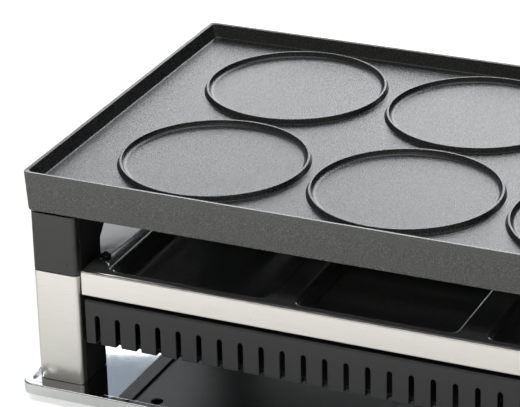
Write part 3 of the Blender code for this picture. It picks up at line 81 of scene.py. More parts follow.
lens = bpy.data.cameras.new("long_lens")
lens.lens = FOCAL_MM
lens.sensor_width = SENSOR_MM
lens.clip_start = 0.01
camera = bpy.data.objects.new("camera", lens)
bpy.context.scene.collection.objects.link(camera)
camera.matrix_world = (Matrix.Translation(CAMERA_PLACE)
                       @ aim_camera(CAMERA_AZIMUTH, CAMERA_ELEVATION, CAMERA_ROLL).to_4x4())
bpy.context.scene.camera = camera
bpy.context.scene.view_settings.view_transform = "Standard"
print("camera stands", round(camera.location.length, 3), "m from the grill's middle")

# %% [markdown]
# ## Colours and nodes
#
# A colour is written as people write it for screens, as an sRGB hex value. Blender's
# sockets hold linear light, so one function turns the one into the other. Another adds a
# node with its settings and its links. A link is written as a pair: a node, and the name
# or number of its output. Two more open and close a material, whatever is in between.

# %% Colours, nodes and materials
def linear(hex_colour):
    """The linear value, with alpha, of a colour written like '#808080'."""
    parts = [int(hex_colour[i:i + 2], 16) / 255 for i in (1, 3, 5)]
    light = [c / 12.92 if c <= 0.04045 else ((c + 0.055) / 1.055) ** 2.4 for c in parts]
    return (*light, 1.0)


def add_node(tree, kind, inputs=None, **settings):
    """A new node. An input is a plain value, or a pair (node, output) where it is linked."""
    node = tree.nodes.new(kind)
    for name, value in settings.items():
        setattr(node, name, value)
    for socket, value in (inputs or {}).items():
        if isinstance(value, tuple) and isinstance(value[0], bpy.types.Node):
            tree.links.new(value[0].outputs[value[1]], node.inputs[socket])
        else:
            node.inputs[socket].default_value = value
    return node


def start_material(name):
    """A new material's empty node tree, with the piece's own coordinates in metres."""
    material = bpy.data.materials.new(name)
    material.use_nodes = True
    tree = material.node_tree
    tree.nodes.clear()
    place = add_node(tree, "ShaderNodeTexCoord")
    return material, tree, (place, "Object")


def close_material(tree, inputs):
    """The surface shader with its inputs, linked to the material's output."""
    shader = add_node(tree, "ShaderNodeBsdfPrincipled", inputs)
    add_node(tree, "ShaderNodeOutputMaterial", {"Surface": (shader, "BSDF")})


finishes = {}
print("mid grey #808080 is", round(linear("#808080")[0], 4), "in linear light")

# %% [markdown]
# ## What every finish is made of
#
# No real surface is even. Its tone, its gloss and its height all waver, each at a size of
# its own: pigment by tenths of a millimetre, rolled steel by centimetres. Pictures of
# real surfaces could be used, but they blur close up and repeat far off. Noise does
# neither. So there is a noise with a grain size in millimetres, a spread of its values
# over a range, a blend of two colours, a colour times a factor, and a bump.

# %% Noise, spread, blend and bump
def per_mm(size):
    """The texture scale that makes one grain of that many millimetres, in metre coordinates."""
    return 1000 / size


def noise(tree, place, grain_mm, detail, roughness=0.5):
    """An even noise whose grains are that many millimetres wide."""
    settings = {"Vector": place, "Scale": per_mm(grain_mm), "Detail": detail, "Roughness": roughness}
    return add_node(tree, "ShaderNodeTexNoise", settings), 0


def spread(tree, source, low, high, start=0.3, end=0.7):
    """The source's values from start to end, spread over low to high."""
    settings = {"Value": source, "From Min": start, "From Max": end, "To Min": low, "To Max": high}
    return add_node(tree, "ShaderNodeMapRange", settings), "Result"


def blend(tree, share, first, second):
    """A colour between two. Each is a hex value, a linear colour or a link."""
    first, second = (linear(c) if isinstance(c, str) else c for c in (first, second))
    settings = {0: share, 6: first, 7: second}
    return add_node(tree, "ShaderNodeMix", settings, data_type="RGBA"), 2


def scaled(tree, colour, factor):
    """A colour times a linked factor."""
    return add_node(tree, "ShaderNodeVectorMath", {0: colour, "Scale": factor}, operation="SCALE"), 0


def bump(tree, height, strength, depth):
    """A relief of that depth in metres."""
    settings = {"Strength": strength, "Distance": depth, "Height": height}
    return add_node(tree, "ShaderNodeBump", settings), "Normal"


print("a grain of 1 mm has the scale", per_mm(1))

# %% [markdown]
# ## The room
#
# The flat tops mirror a bright wall behind the grill, the walls that face the camera
# stay dark, and the outer front gets its light from the white table. An even white world
# would make the black parts milky. So the room is bright behind the grill on the left,
# dim in front, and nearly dark behind on the right, where a photographer would stand a
# black screen. The camera itself sees plain white.

# %% World
WHITE = (1.0, 1.0, 1.0, 1.0)
FRONT_SHARE = 0.3
BACK_SHARE = 0.75
BRIGHT_SIDE = (-0.42, 0.91, 0.0)
BRIGHT_FADE = (0.55, 0.88)
DARK_SIDE = (0.71, 0.71, 0.0)
DARK_FADE = (0.55, 0.9)
DARK_SHARE = 0.12
ROOM_WALL = "#C8C8C6"
BACK_WALL = "#A6B3C0"

world = bpy.data.worlds.new("white_studio")
bpy.context.scene.world = world
world.use_nodes = True
sky = world.node_tree
sky.nodes.clear()
direction = add_node(sky, "ShaderNodeTexCoord")


def toward(side, fade, low, high):
    """A value that goes softly from low to high as the view turns to that side."""
    facing = add_node(sky, "ShaderNodeVectorMath", operation="DOT_PRODUCT",
                      inputs={0: (direction, "Generated"), 1: side})
    settings = {"Value": (facing, "Value"), "From Min": fade[0], "From Max": fade[1],
                "To Min": low, "To Max": high}
    return add_node(sky, "ShaderNodeMapRange", settings, interpolation_type="SMOOTHSTEP"), "Result"


room = toward(BRIGHT_SIDE, BRIGHT_FADE, 0.0, 1.0)
room_light = spread(sky, room, FRONT_SHARE, BACK_SHARE, 0.0, 1.0)
screen = toward(DARK_SIDE, DARK_FADE, 1.0, DARK_SHARE)
shaded = add_node(sky, "ShaderNodeMath", {0: room_light, 1: screen}, operation="MULTIPLY")
path = add_node(sky, "ShaderNodeLightPath")
seen = (path, "Is Camera Ray")
wall = blend(sky, room, ROOM_WALL, BACK_WALL)
tint = blend(sky, seen, wall, WHITE)
strength = add_node(sky, "ShaderNodeMath", {0: (shaded, 0), 1: seen}, operation="MAXIMUM")
background = add_node(sky, "ShaderNodeBackground", {"Color": tint, "Strength": (strength, 0)})
add_node(sky, "ShaderNodeOutputWorld", {"Surface": (background, "Background")})
print("the room is", BACK_SHARE, "bright behind the grill and", FRONT_SHARE, "in front of it")

# %% [markdown]
# ## Soft boxes
#
# A soft box is a lamp behind white cloth, and glossy things mirror its shape. A single
# bare lamp would give hard shadows and small hot spots. The broad box behind the grill
# gives the plate its sheen. A narrow, brighter one above it lights what faces up and
# back, a small one at the left whitens the tray's corner, and one overhead fills. The
# last lamp has a narrow beam and brightens just the table in front of the grill.

# %% Soft boxes
PLATE_MIDDLE = (0.0, 0.0, 0.12)
TABLE_FRONT = (-0.25, -0.75, 0.0)


def soft_box(name, place, target, width, height, brightness, beam=180):
    """A rectangular lamp that faces target. Brightness 1 is that of white paper in full light."""
    lamp = bpy.data.lights.new(name, "AREA")
    lamp.shape = "RECTANGLE"
    lamp.size = width
    lamp.size_y = height
    lamp.energy = brightness * math.pi * width * height
    lamp.spread = math.radians(beam)
    box = bpy.data.objects.new(name, lamp)
    bpy.context.scene.collection.objects.link(box)
    box.location = place
    box.rotation_euler = (Vector(target) - Vector(place)).to_track_quat("-Z", "Y").to_euler()


soft_box("back_soft_box", (-0.72, 2.05, 0.645), PLATE_MIDDLE, 1.5, 0.94, 3.5)
soft_box("upper_soft_box", (-0.22, 1.85, 1.37), PLATE_MIDDLE, 1.0, 0.32, 6.5)
soft_box("left_soft_box", (-1.66, 1.86, 1.3), PLATE_MIDDLE, 0.5, 0.6, 1.15)
soft_box("top_soft_box", (0.0, 0.5, 1.9), PLATE_MIDDLE, 1.5, 0.8, 1.4)
soft_box("table_lamp", (-0.25, -0.7, 0.9), TABLE_FRONT, 1.2, 0.5, 3.9, beam=80)

# %% [markdown]
# ## The floor
#
# The grill stands on white paper whose edge is out of sight. Paper alone would come out
# grey where less light falls on it. A photographer lights it once more; here the paper
# gives off a little light of its own to the camera, and much less to mirrors, so that
# the polished tray still shows a table darker than the lamps.

# %% Floor
FLOOR_HALF = 6.0
FLOOR_COLOUR = "#F4F4F2"
FLOOR_LIFT = 0.6
MIRROR_LIFT = 0.12

bm = bmesh.new()
bmesh.ops.create_grid(bm, x_segments=1, y_segments=1, size=FLOOR_HALF)
floor_mesh = bpy.data.meshes.new("floor")
bm.to_mesh(floor_mesh)
bm.free()
floor = bpy.data.objects.new("floor", floor_mesh)
bpy.context.scene.collection.objects.link(floor)
paper, tree, place = start_material("white_paper")
eye = add_node(tree, "ShaderNodeLightPath")
mirror = add_node(tree, "ShaderNodeMath", operation="MAXIMUM",
                  inputs={0: (eye, "Is Glossy Ray"), 1: (eye, "Is Transmission Ray")})
mirror_lift = add_node(tree, "ShaderNodeMath", operation="MULTIPLY",
                       inputs={0: (mirror, 0), 1: MIRROR_LIFT})
lift = add_node(tree, "ShaderNodeMath", operation="MULTIPLY_ADD",
                inputs={0: (eye, "Is Camera Ray"), 1: FLOOR_LIFT, 2: (mirror_lift, 0)})
close_material(tree, {"Base Color": linear(FLOOR_COLOUR), "Roughness": 0.9, "Specular IOR Level": 0.2,
                      "Emission Color": WHITE, "Emission Strength": (lift, 0)})
floor_mesh.materials.append(paper)
print("floor:", 2 * FLOOR_HALF, "m square")

# %% [markdown]
# ## Cast aluminium with a sprayed coating
#
# The plate is cast aluminium. Its non-stick coating is sprayed on as a liquid full of
# fine pigment and baked, so it has a salt-and-pepper speckle that can be felt. The
# coating is nearly black, and the grey on the flat parts is the room's light, mirrored
# by many small bumps. A flat grey would look like card. The speckle is two noises: a
# fine one for the pigment, 0.6 mm so that it shows in the picture (the real one is nearer
# 0.4 mm), and a broad one for the uneven spray. The fine one also drives gloss and bump.

# %% Sprayed coating
PIGMENT_MM = 0.6
SPRAY_MM = 38

material, tree, place = start_material("sprayed_ceramic_coating")
pigment = noise(tree, place, PIGMENT_MM, 2.0, 0.6)
spray = noise(tree, place, SPRAY_MM, 2.0)
speckle = spread(tree, pigment, 0.0, 1.0, 0.47, 0.61)
grey = blend(tree, speckle, "#020202", "#4E4E4C")
cloud = spread(tree, spray, 0.94, 1.06)
sheen = spread(tree, pigment, 0.22, 0.36)
close_material(tree, {"Base Color": scaled(tree, grey, cloud), "Roughness": sheen, "IOR": 1.7,
                      "Normal": bump(tree, pigment, 0.85, 0.00012)})
finishes["cast_coating"] = material
print("coating speckle:", round(per_mm(PIGMENT_MM)), "grains per metre")

# %% [markdown]
# ## Black mouldings
#
# The caps of the posts, the knob and the switch's frame are phenolic plastic, pressed
# hot in a polished mould: satin black, which stands the heat of the plate. The deck's
# screws are blackened to match. The cores of the posts are glass-filled nylon with the
# fine etched grain of their mould. The control housing, the terminal cover and the inlet
# are matt phenolic, and the rocker is polished nylon. One recipe makes all of them: near
# black, a little uneven in gloss, with a grain whose size and depth differ.

# %% Black mouldings
FLOW_MM = 14


def moulded_black(name, colour, gloss_low, gloss_high, grain_mm, depth):
    """A black moulded plastic. The gloss varies between two roughness values."""
    material, tree, place = start_material(name)
    grain = noise(tree, place, grain_mm, 3.0)
    flow = noise(tree, place, FLOW_MM, 2.0)
    shade = spread(tree, flow, 0.85, 1.15)
    gloss = spread(tree, flow, gloss_low, gloss_high)
    close_material(tree, {"Base Color": scaled(tree, linear(colour)[:3], shade), "Roughness": gloss,
                          "IOR": 1.52, "Normal": bump(tree, grain, 0.4, depth)})
    return material


finishes["satin_black"] = moulded_black("pressed_phenolic", "#2F2F2F", 0.26, 0.34, 0.8, 0.00002)
finishes["black_moulding"] = moulded_black("etched_nylon", "#1C1C1C", 0.46, 0.56, 0.7, 0.00005)
finishes["matte_black"] = moulded_black("matt_phenolic", "#202020", 0.55, 0.65, 0.7, 0.00004)
finishes["gloss_black"] = moulded_black("polished_nylon", "#141414", 0.12, 0.18, 2.0, 0.00001)
for slot in ("satin_black", "black_moulding", "matte_black", "gloss_black"):
    print(slot, "is", finishes[slot].name)

# %% [markdown]
# ## Black enamel
#
# The deck is pressed from thin steel and coated with vitreous enamel, which is glass
# melted onto the sheet. A plain black mirror would look like a window at night. Real
# enamel has tiny pores that scatter some light, and the very slight waves of a surface
# that once flowed. So the base is a dark grey and not black, and the gloss is high but
# uneven. Clear glass has an IOR of 1.5. Here it is 1.34, matched to the faint mirror
# images of the real deck. The waves are some millimetres wide and almost nothing high.

# %% Black enamel
WAVE_MM = 9
PORE_MM = 2.5

material, tree, place = start_material("black_vitreous_enamel")
waves = noise(tree, place, WAVE_MM, 1.0)
pores = noise(tree, place, PORE_MM, 1.0)
gloss = spread(tree, pores, 0.07, 0.10, 0.35, 0.75)
close_material(tree, {"Base Color": blend(tree, pores, "#454646", "#515252"), "Roughness": gloss,
                      "IOR": 1.34, "Normal": bump(tree, waves, 0.15, 0.00008)})
finishes["black_enamel"] = material
print("enamel waves:", round(per_mm(WAVE_MM)), "per metre")

# %% [markdown]
# ## Painted sheet
#
# The slotted panels, their end walls, the bars behind the trim and the heat shield are
# steel sheet with baked powder paint: dark grey and half matt. Smooth paint would be
# simpler, but melted powder leaves a fine orange-peel skin, which breaks up its sheen.

# %% Powder-coated sheet
PEEL_MM = 1.3
DRIFT_MM = 45

material, tree, place = start_material("powder_coated_sheet")
peel = noise(tree, place, PEEL_MM, 2.0)
drift = noise(tree, place, DRIFT_MM, 2.0)
close_material(tree, {"Base Color": blend(tree, drift, "#272928", "#323433"),
                      "Roughness": spread(tree, peel, 0.36, 0.48), "IOR": 1.5,
                      "Normal": bump(tree, peel, 0.3, 0.00005)})
finishes["dark_sheet"] = material
print("powder skin:", round(per_mm(PEEL_MM)), "grains per metre")

# %% [markdown]
# ## Ground and plated steel
#
# The trim strips and the covers of the posts are stainless sheet ground with a fine
# belt, so their light is drawn out along the grain. A picture of scratches could be
# wrapped round each piece, but a noise squeezed along one axis does the same at any size.
# The heater's rails and strips, the thermostat's shaft and the inlet's blades are zinc
# plated, with the same recipe but no squeeze. A metal's colour is that of its reflection,
# so each metal here keeps Metallic at 1 and the default IOR.

# %% Ground stainless steel
GRIND_MM = 0.4


def ground_steel(name, light, dark, stretch, rough_low, rough_high):
    """Stainless sheet whose grinding lines run along the axis where stretch is small."""
    material, tree, place = start_material(name)
    along = add_node(tree, "ShaderNodeMapping", {"Vector": place, "Scale": stretch})
    lines = noise(tree, (along, 0), GRIND_MM, 3.0)
    close_material(tree, {"Base Color": blend(tree, lines, dark, light), "Metallic": 1.0,
                          "Roughness": spread(tree, lines, rough_low, rough_high),
                          "Normal": bump(tree, lines, 0.08, 0.00001)})
    return material


finishes["brushed_steel"] = ground_steel("ground_stainless_steel", "#E7E5E0", "#DAD8D2",
                                         (0.02, 1.0, 1.0), 0.27, 0.32)
finishes["plated_steel"] = ground_steel("zinc_plated_steel", "#CFCFCC", "#B2B2AE",
                                        (0.6, 0.6, 0.6), 0.30, 0.42)
print("grinding lines:", round(per_mm(GRIND_MM)), "per metre")

# %% [markdown]
# ## Polished steel
#
# The tray is stainless sheet polished like a mirror. A perfect mirror would look
# computed. Rolled sheet keeps waves of some centimetres that bend what it mirrors, and
# wiping leaves a faint haze. Both are here, as two weak noises.

# %% Polished steel
ROLL_MM = 30
HAZE_MM = 4

material, tree, place = start_material("polished_stainless_steel")
roll = noise(tree, place, ROLL_MM, 1.0)
haze = noise(tree, place, HAZE_MM, 3.0)
close_material(tree, {"Base Color": blend(tree, haze, "#E2E4E5", "#EEEFEF"), "Metallic": 1.0,
                      "Roughness": spread(tree, haze, 0.03, 0.036),
                      "Normal": bump(tree, roll, 0.004, 0.0001)})
finishes["bright_steel"] = material
print("polished sheet waves:", round(per_mm(ROLL_MM)), "per metre")

# %% [markdown]
# ## Heat-tinted sheath
#
# The heater's sheath is a nickel alloy. Its own heat tints it brown and blue in bands,
# and a thin oxide dulls it. A single brown would look painted. A broad noise blends the
# two tints, and a fine one lays the oxide over them.

# %% Heat-tinted sheath
TINT_MM = 22
OXIDE_MM = 1.0

material, tree, place = start_material("heat_tinted_nickel_alloy")
bands = noise(tree, place, TINT_MM, 3.0)
oxide = noise(tree, place, OXIDE_MM, 4.0)
warm = blend(tree, bands, "#4A3D33", "#3F4449")
close_material(tree, {"Base Color": blend(tree, oxide, warm, "#5E574F"), "Metallic": 1.0,
                      "Roughness": spread(tree, oxide, 0.35, 0.6, 0.0, 1.0)})
finishes["heater_metal"] = material
print("sheath tint bands:", round(per_mm(TINT_MM)), "per metre")

# %% [markdown]
# ## Ceramic, rubber, the lamp's lens and ink
#
# Four small finishes are left. The terminal block and the thermostat's body are unglazed
# steatite, chalky and cream. The feet are moulded rubber, black with a grey bloom. The
# lamp's lens is amber acrylic with a ribbed back, so it lets light through and glints.
# The marks on the dial are printed ink. Three of the four are matt and uneven in the same
# way, so they share a recipe.

# %% Small finishes
RING_MM = 9


def matt_finish(name, grain_mm, detail, dark, light, roughness, relief):
    """A dull material, uneven in tone. Its bump is 0.05 mm deep, times relief."""
    material, tree, place = start_material(name)
    grain = noise(tree, place, grain_mm, detail)
    inputs = {"Base Color": blend(tree, grain, dark, light), "Roughness": roughness, "IOR": 1.5}
    if relief:
        inputs["Normal"] = bump(tree, grain, relief, 0.00005)
    close_material(tree, inputs)
    return material


finishes["ceramic"] = matt_finish("unglazed_steatite", 0.8, 4.0, "#CFC8B4", "#E2DCCB", 0.8, 0.3)
finishes["rubber"] = matt_finish("moulded_rubber", 3, 4.0, "#1B1B1B", "#343433", 0.75, 0.4)

material, tree, place = start_material("amber_acrylic")
rings = add_node(tree, "ShaderNodeTexWave", {"Vector": place, "Scale": per_mm(RING_MM)}, bands_direction="Z")
close_material(tree, {"Base Color": blend(tree, (rings, "Fac"), "#E07A18", "#F29A33"), "Roughness": 0.12,
                      "IOR": 1.49, "Transmission Weight": 0.55})
finishes["amber_lens"] = material

finishes["dial_ink"] = matt_finish("pad_printed_ink", 0.7, 3.0, "#C9C7C0", "#E8E6E0", 0.55, 0)
print("finishes:", len(finishes))

# %% [markdown]
# ## Finishes on the CAD solids
#
# The record says which finish each solid has, and the importer gives every node a plain
# material of that slot. The finishes could be handed out by a list of all the names, but
# such a list is long and easily wrong. So each plain material is swapped for the finish
# of the same slot.

# %% Give each node its finish
dressed = set()
for name, obj in nodes.items():
    for index, old in enumerate(obj.data.materials):
        slot = next(s for s in finishes if old.name.startswith(s))
        obj.data.materials[index] = finishes[slot]
        dressed.add(name)
print("dressed:", len(dressed), "of", len(nodes))

# %% [markdown]
# ## Edges that catch the light
#
# No real edge is razor sharp. A CAD solid's edges are, so they would vanish against
# their neighbours. Each solid could be modelled again with rounded edges. A modifier
# stack is lighter: weld the imported corners, dissolve the flat triangles so that only
# true edges are left, round those by a few tenths of a millimetre, and let large faces
# rule the shading.

# %% Soften the edges
WELD_REACH = 0.000005
FLAT_WITHIN = math.radians(0.5)
EDGE_FROM = math.radians(35)
EDGE_MM = {"cap": 0.6, "cover": 0.25, "trim": 0.4, "vent_panel": 0.45, "control_housing": 0.5,
           "terminal_cover": 0.4, "base_tray": 0.2, "post": 0.3, "thermostat_knob": 0.3,
           "switch": 0.3, "power_inlet": 0.3, "terminal_block": 0.3, "foot": 0.4}
OTHER_EDGE_MM = 0.12
MADE_AGAIN = ("grill_plate", "pan_deck")


def soften(obj, width_mm):
    """Rounds a solid's edges by that many millimetres, with no change to its mesh."""
    weld = obj.modifiers.new("weld", "WELD")
    weld.merge_threshold = WELD_REACH
    flat = obj.modifiers.new("flat_faces", "DECIMATE")
    flat.decimate_type = "DISSOLVE"
    flat.angle_limit = FLAT_WITHIN
    edge = obj.modifiers.new("edge_radius", "BEVEL")
    edge.width = width_mm / 1000
    edge.segments = 2
    edge.limit_method = "ANGLE"
    edge.angle_limit = EDGE_FROM
    edge.use_clamp_overlap = True
    shading = obj.modifiers.new("shading", "WEIGHTED_NORMAL")
    shading.keep_sharp = False


def edge_width(name):
    """The width in millimetres for the piece of that name."""
    for start, width_mm in EDGE_MM.items():
        if name.startswith(start):
            return width_mm
    return OTHER_EDGE_MM


softened = [name for name in nodes if name not in MADE_AGAIN]
for name in softened:
    soften(nodes[name], edge_width(name))
print("softened:", len(softened), "solids")

# %% [markdown]
# ## Lines for the two rich pieces
#
# The plate and the deck are both made of the same two things: a section that runs round
# a rounded rectangle, and a flat face with round or square holes in it. Their points
# could be typed in by hand, but nobody could check them. A section is written instead as
# a few corners with a radius each, as a toolmaker would dimension it, and one function
# turns them into a smooth line.

# %% Sections, rectangles and circles
def rounded_path(corners, steps=5):
    """A smooth line through (across, height, radius) corners."""
    path = []
    for i, (across, height, radius) in enumerate(corners):
        here = Vector((across, height))
        if radius == 0:
            path.append(here)
            continue
        before = (Vector(corners[i - 1][:2]) - here).normalized()
        after = (Vector(corners[i + 1][:2]) - here).normalized()
        half = before.angle(after) / 2
        centre = here + (before + after).normalized() * radius / math.sin(half)
        first = here + before * radius / math.tan(half) - centre
        last = here + after * radius / math.tan(half) - centre
        turn = math.pi - 2 * half
        for step in range(steps + 1):
            share = step / steps
            ways = math.sin((1 - share) * turn) * first + math.sin(share * turn) * last
            path.append(centre + ways / math.sin(turn))
    return path


def rounded_rectangle(half_x, half_y, radius, steps=8):
    """The points of a rectangle with rounded corners, anticlockwise."""
    points = []
    for start, sign_x, sign_y in ((0, 1, 1), (90, -1, 1), (180, -1, -1), (270, 1, -1)):
        for step in range(steps + 1):
            angle = math.radians(start + 90 * step / steps)
            points.append((sign_x * (half_x - radius) + radius * math.cos(angle),
                           sign_y * (half_y - radius) + radius * math.sin(angle)))
    return points


def circle(radius, steps):
    """The points of a circle round the origin, anticlockwise."""
    return [(radius * math.cos(2 * math.pi * i / steps), radius * math.sin(2 * math.pi * i / steps))
            for i in range(steps)]


square_turn = rounded_path([(0, 0, 0), (1, 0, 0.2), (1, 1, 0)])
print("a rounded corner between two ends becomes", len(square_turn) - 2, "points")

# %% [markdown]
# ## Faces for the two rich pieces
#
# A section swept round a shape is a stack of rings, and each ring is joined to the next
# by quads. A flat face with holes could be cut by a boolean, but that leaves long thin
# slivers near the round wells. Filling the space between closed rings with triangles
# keeps every ring as it is.

# %% Rings, fills and finished pieces
def add_ring(bm, points, height, middle=(0.0, 0.0)):
    """New vertices at those points, at one height."""
    return [bm.verts.new((x + middle[0], y + middle[1], height)) for x, y in points]


def bridge(bm, low, high):
    """Quads between two rings of as many points."""
    for i in range(len(low)):
        j = (i + 1) % len(low)
        bm.faces.new((low[i], low[j], high[j], high[i]))


def fill_between(bm, rings):
    """Flat triangles inside the first ring and outside all the others."""
    edges = []
    for ring in rings:
        for i in range(len(ring)):
            pair = (ring[i], ring[(i + 1) % len(ring)])
            edges.append(bm.edges.get(pair) or bm.edges.new(pair))
    bmesh.ops.triangle_fill(bm, edges=edges, use_beauty=True, use_dissolve=False, normal=(0, 0, 1))


def place_piece(name, bm, slot, body, finish=None):
    """The mesh as an object that rides on a body, in its slot's finish or in the one given."""
    bmesh.ops.recalc_face_normals(bm, faces=bm.faces)
    mesh = bpy.data.meshes.new(name)
    bm.to_mesh(mesh)
    bm.free()
    mesh.shade_smooth()
    mesh.materials.append(finishes[finish or slot])
    obj = bpy.data.objects.new(name, mesh)
    bpy.context.scene.collection.objects.link(obj)
    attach(obj, body)
    return obj


print("a new piece can have one of", len(finishes), "finishes")

# %% [markdown]
# ## The cast plate's skirt and rim
#
# The real plate is cast in a metal mould, so every wall leans a little and every corner
# is round. A sculpted or subdivided block would lose its straight lines. Here the skirt
# and the rim are one section, swept round the plate. Each corner of the section is its
# distance inward from the plate's outline, its height and its radius.

# %% Skirt and rim
HALF_LENGTH = 0.231
HALF_DEPTH = 0.109
PLATE_TOP = 0.1253
GRIDDLE_TOP = 0.1189
GRIDDLE_UNDER = 0.1158
SKIRT_BOTTOM = 0.1043
RIM_WIDTH = 0.0016
OUTER_CORNER = 0.0025
INNER_CORNER = 0.0035

PLATE_SECTION = [
    (0.0100, GRIDDLE_UNDER, 0),
    (0.0041, GRIDDLE_UNDER, 0.0012),
    (0.0033, SKIRT_BOTTOM, 0.0006),
    (0.0, SKIRT_BOTTOM, 0.0006),
    (-0.0009, PLATE_TOP, 0.0002),
    (0.0009, PLATE_TOP - 0.0002, 0.0004),
    (0.0043, GRIDDLE_TOP, 0.0013),
    (0.0062, GRIDDLE_TOP, 0),
]

bm = bmesh.new()
rings = []
for inset, height in rounded_path(PLATE_SECTION):
    corner = OUTER_CORNER if inset < RIM_WIDTH else INNER_CORNER
    outline = rounded_rectangle(HALF_LENGTH - inset, HALF_DEPTH - inset, corner)
    rings.append(add_ring(bm, outline, height))
for low, high in zip(rings, rings[1:]):
    bridge(bm, low, high)
bm.faces.new(rings[0])
print("skirt and rim:", len(rings), "rings of", len(rings[0]), "points")

# %% [markdown]
# ## The cast plate's wells
#
# Eight round wells for small pancakes are marked off by low ribs. Each rib has a tight
# foot outside and a wide cove inside, where a spatula slides up. Bent strips or a carved
# grid would never be truly round, so each rib is a turned ring: the same kind of section,
# measured from the well's middle. Flat triangles then join the ribs and the rim.

# %% Wells
WELL_XS = (-0.1545, -0.0515, 0.0515, 0.1545)
WELL_YS = (-0.0512, 0.0512)
RIB_TOP = 0.1215
WELL_STEPS = 128

RIB_SECTION = [
    (0.0503, GRIDDLE_TOP, 0),
    (0.0489, GRIDDLE_TOP, 0.0004),
    (0.04785, RIB_TOP, 0.0003),
    (0.04675, RIB_TOP, 0.0003),
    (0.0455, GRIDDLE_TOP, 0.0026),
    (0.0405, GRIDDLE_TOP, 0),
]

edges_of_wells = []
for x in WELL_XS:
    for y in WELL_YS:
        turned = [add_ring(bm, circle(radius, WELL_STEPS), height, (x, y))
                  for radius, height in rounded_path(RIB_SECTION)]
        for outer, inner in zip(turned, turned[1:]):
            bridge(bm, outer, inner)
        bm.faces.new(turned[-1])
        edges_of_wells.append(turned[0])
fill_between(bm, [rings[-1], *edges_of_wells])
plate = place_piece("cast_plate", bm, "cast_coating", "plate")
plate.modifiers.new("shading", "WEIGHTED_NORMAL")
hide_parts("grill_plate")
print("cast plate:", len(plate.data.polygons), "faces,", len(edges_of_wells), "wells")

# %% [markdown]
# ## The deck's pan stations
#
# The deck is one sheet of steel, pressed into eight stations where the small pans stand,
# then enamelled. The press leaves a low bead round each station, a small step in its rim
# and a rounded foot, and they catch thin lines of light that a bump would lose. So each
# station is swept from a section again, measured inward from the station's outline.

# %% Pan stations
DECK_TOP = 0.0726
STATION_HALF = (0.04225, 0.04525)
STATION_CORNER = 0.0050
STATION_DEPTH = 0.0070
BEAD = 0.00015
STATION_XS = (-0.14925, -0.04975, 0.04975, 0.14925)
STATION_YS = (-0.05325, 0.05325)

STATION_SECTION = [
    (-0.0026, DECK_TOP, 0),
    (-0.0019, DECK_TOP, 0.0020),
    (-0.0012, DECK_TOP + BEAD, 0.0010),
    (-0.0006, DECK_TOP + BEAD, 0.0004),
    (0.0000, DECK_TOP - BEAD, 0.0003),
    (0.0004, DECK_TOP - 0.0014, 0.0003),
    (0.0013, DECK_TOP - 0.00171, 0.0004),
    (0.0028, DECK_TOP - STATION_DEPTH, 0.0012),
    (0.0062, DECK_TOP - STATION_DEPTH, 0),
]


def press_station(bm, middle):
    """One station's rim, wall and floor. Returns the ring where it meets the flat sheet."""
    dish = []
    for inset, height in rounded_path(STATION_SECTION):
        outline = rounded_rectangle(STATION_HALF[0] - inset, STATION_HALF[1] - inset,
                                    STATION_CORNER - inset / 2)
        dish.append(add_ring(bm, outline, height, middle))
    for high, low in zip(dish, dish[1:]):
        bridge(bm, high, low)
    bm.faces.new(dish[-1])
    return dish[0]


print("a station's section has", len(rounded_path(STATION_SECTION)), "points")

# %% [markdown]
# ## The deck's sheet
#
# Round the stations the sheet is flat, with notches for the posts and four screw holes,
# and its two ends are folded down into a hem. A block of that shape would have to be
# hollowed from below. Sheet metal has one thickness everywhere, so a single skin is
# filled between the outline and the holes, and a Solidify modifier gives it its 1.2 mm.

# %% Sheet and hems
DECK_SHEET = 0.0012
DECK_FOLD = 0.0015
FOLD_STEPS = 4
DECK_END = (0.228, 0.1027)
DECK_NOTCH = (0.2052, 0.0814)
HEM_HALF = 0.0799
HEM_LOW = 0.0681
SCREW_PLACE = (0.2013, 0.0839)
SCREW_HOLE = 0.0017
SCREW_STEPS = 16
SAME_PLACE = 0.00001
fold_x = DECK_END[0] - DECK_FOLD


def deck_outline():
    """The sheet's outline, short of the fold at its ends and notched round the posts."""
    points = []
    for sign_x, sign_y in ((1, 1), (-1, 1), (-1, -1), (1, -1)):
        corner = [(fold_x, HEM_HALF), (fold_x, DECK_NOTCH[1]), DECK_NOTCH, (DECK_NOTCH[0], DECK_END[1])]
        if sign_x * sign_y < 0:
            corner.reverse()
        points += [(sign_x * x, sign_y * y) for x, y in corner]
    return points


bm = bmesh.new()
outer = add_ring(bm, deck_outline(), DECK_TOP)
holes = [press_station(bm, (x, y)) for x in STATION_XS for y in STATION_YS]
for sign_x in (-1, 1):
    for sign_y in (-1, 1):
        middle = (sign_x * SCREW_PLACE[0], sign_y * SCREW_PLACE[1])
        holes.append(add_ring(bm, circle(SCREW_HOLE, SCREW_STEPS), DECK_TOP, middle))
fill_between(bm, [outer, *holes])
for sign in (-1, 1):
    ends = [v for v in outer if abs(v.co.x - sign * fold_x) < SAME_PLACE
            and abs(abs(v.co.y) - HEM_HALF) < SAME_PLACE]
    rows = [ends]
    for step in range(1, FOLD_STEPS + 1):
        angle = math.radians(90 * step / FOLD_STEPS)
        x = sign * (fold_x + DECK_FOLD * math.sin(angle))
        z = DECK_TOP - DECK_FOLD + DECK_FOLD * math.cos(angle)
        rows.append([bm.verts.new((x, v.co.y, z)) for v in ends])
    rows.append([bm.verts.new((sign * DECK_END[0], v.co.y, HEM_LOW)) for v in ends])
    for high, low in zip(rows, rows[1:]):
        bm.faces.new((high[0], high[1], low[1], low[0]))
deck = place_piece("pressed_deck", bm, "black_enamel", "base")
if deck.data.polygons[0].normal.z < 0:
    deck.data.flip_normals()
sheet = deck.modifiers.new("sheet", "SOLIDIFY")
sheet.thickness = DECK_SHEET
sheet.offset = -1
deck.modifiers.new("shading", "WEIGHTED_NORMAL")
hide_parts("pan_deck")
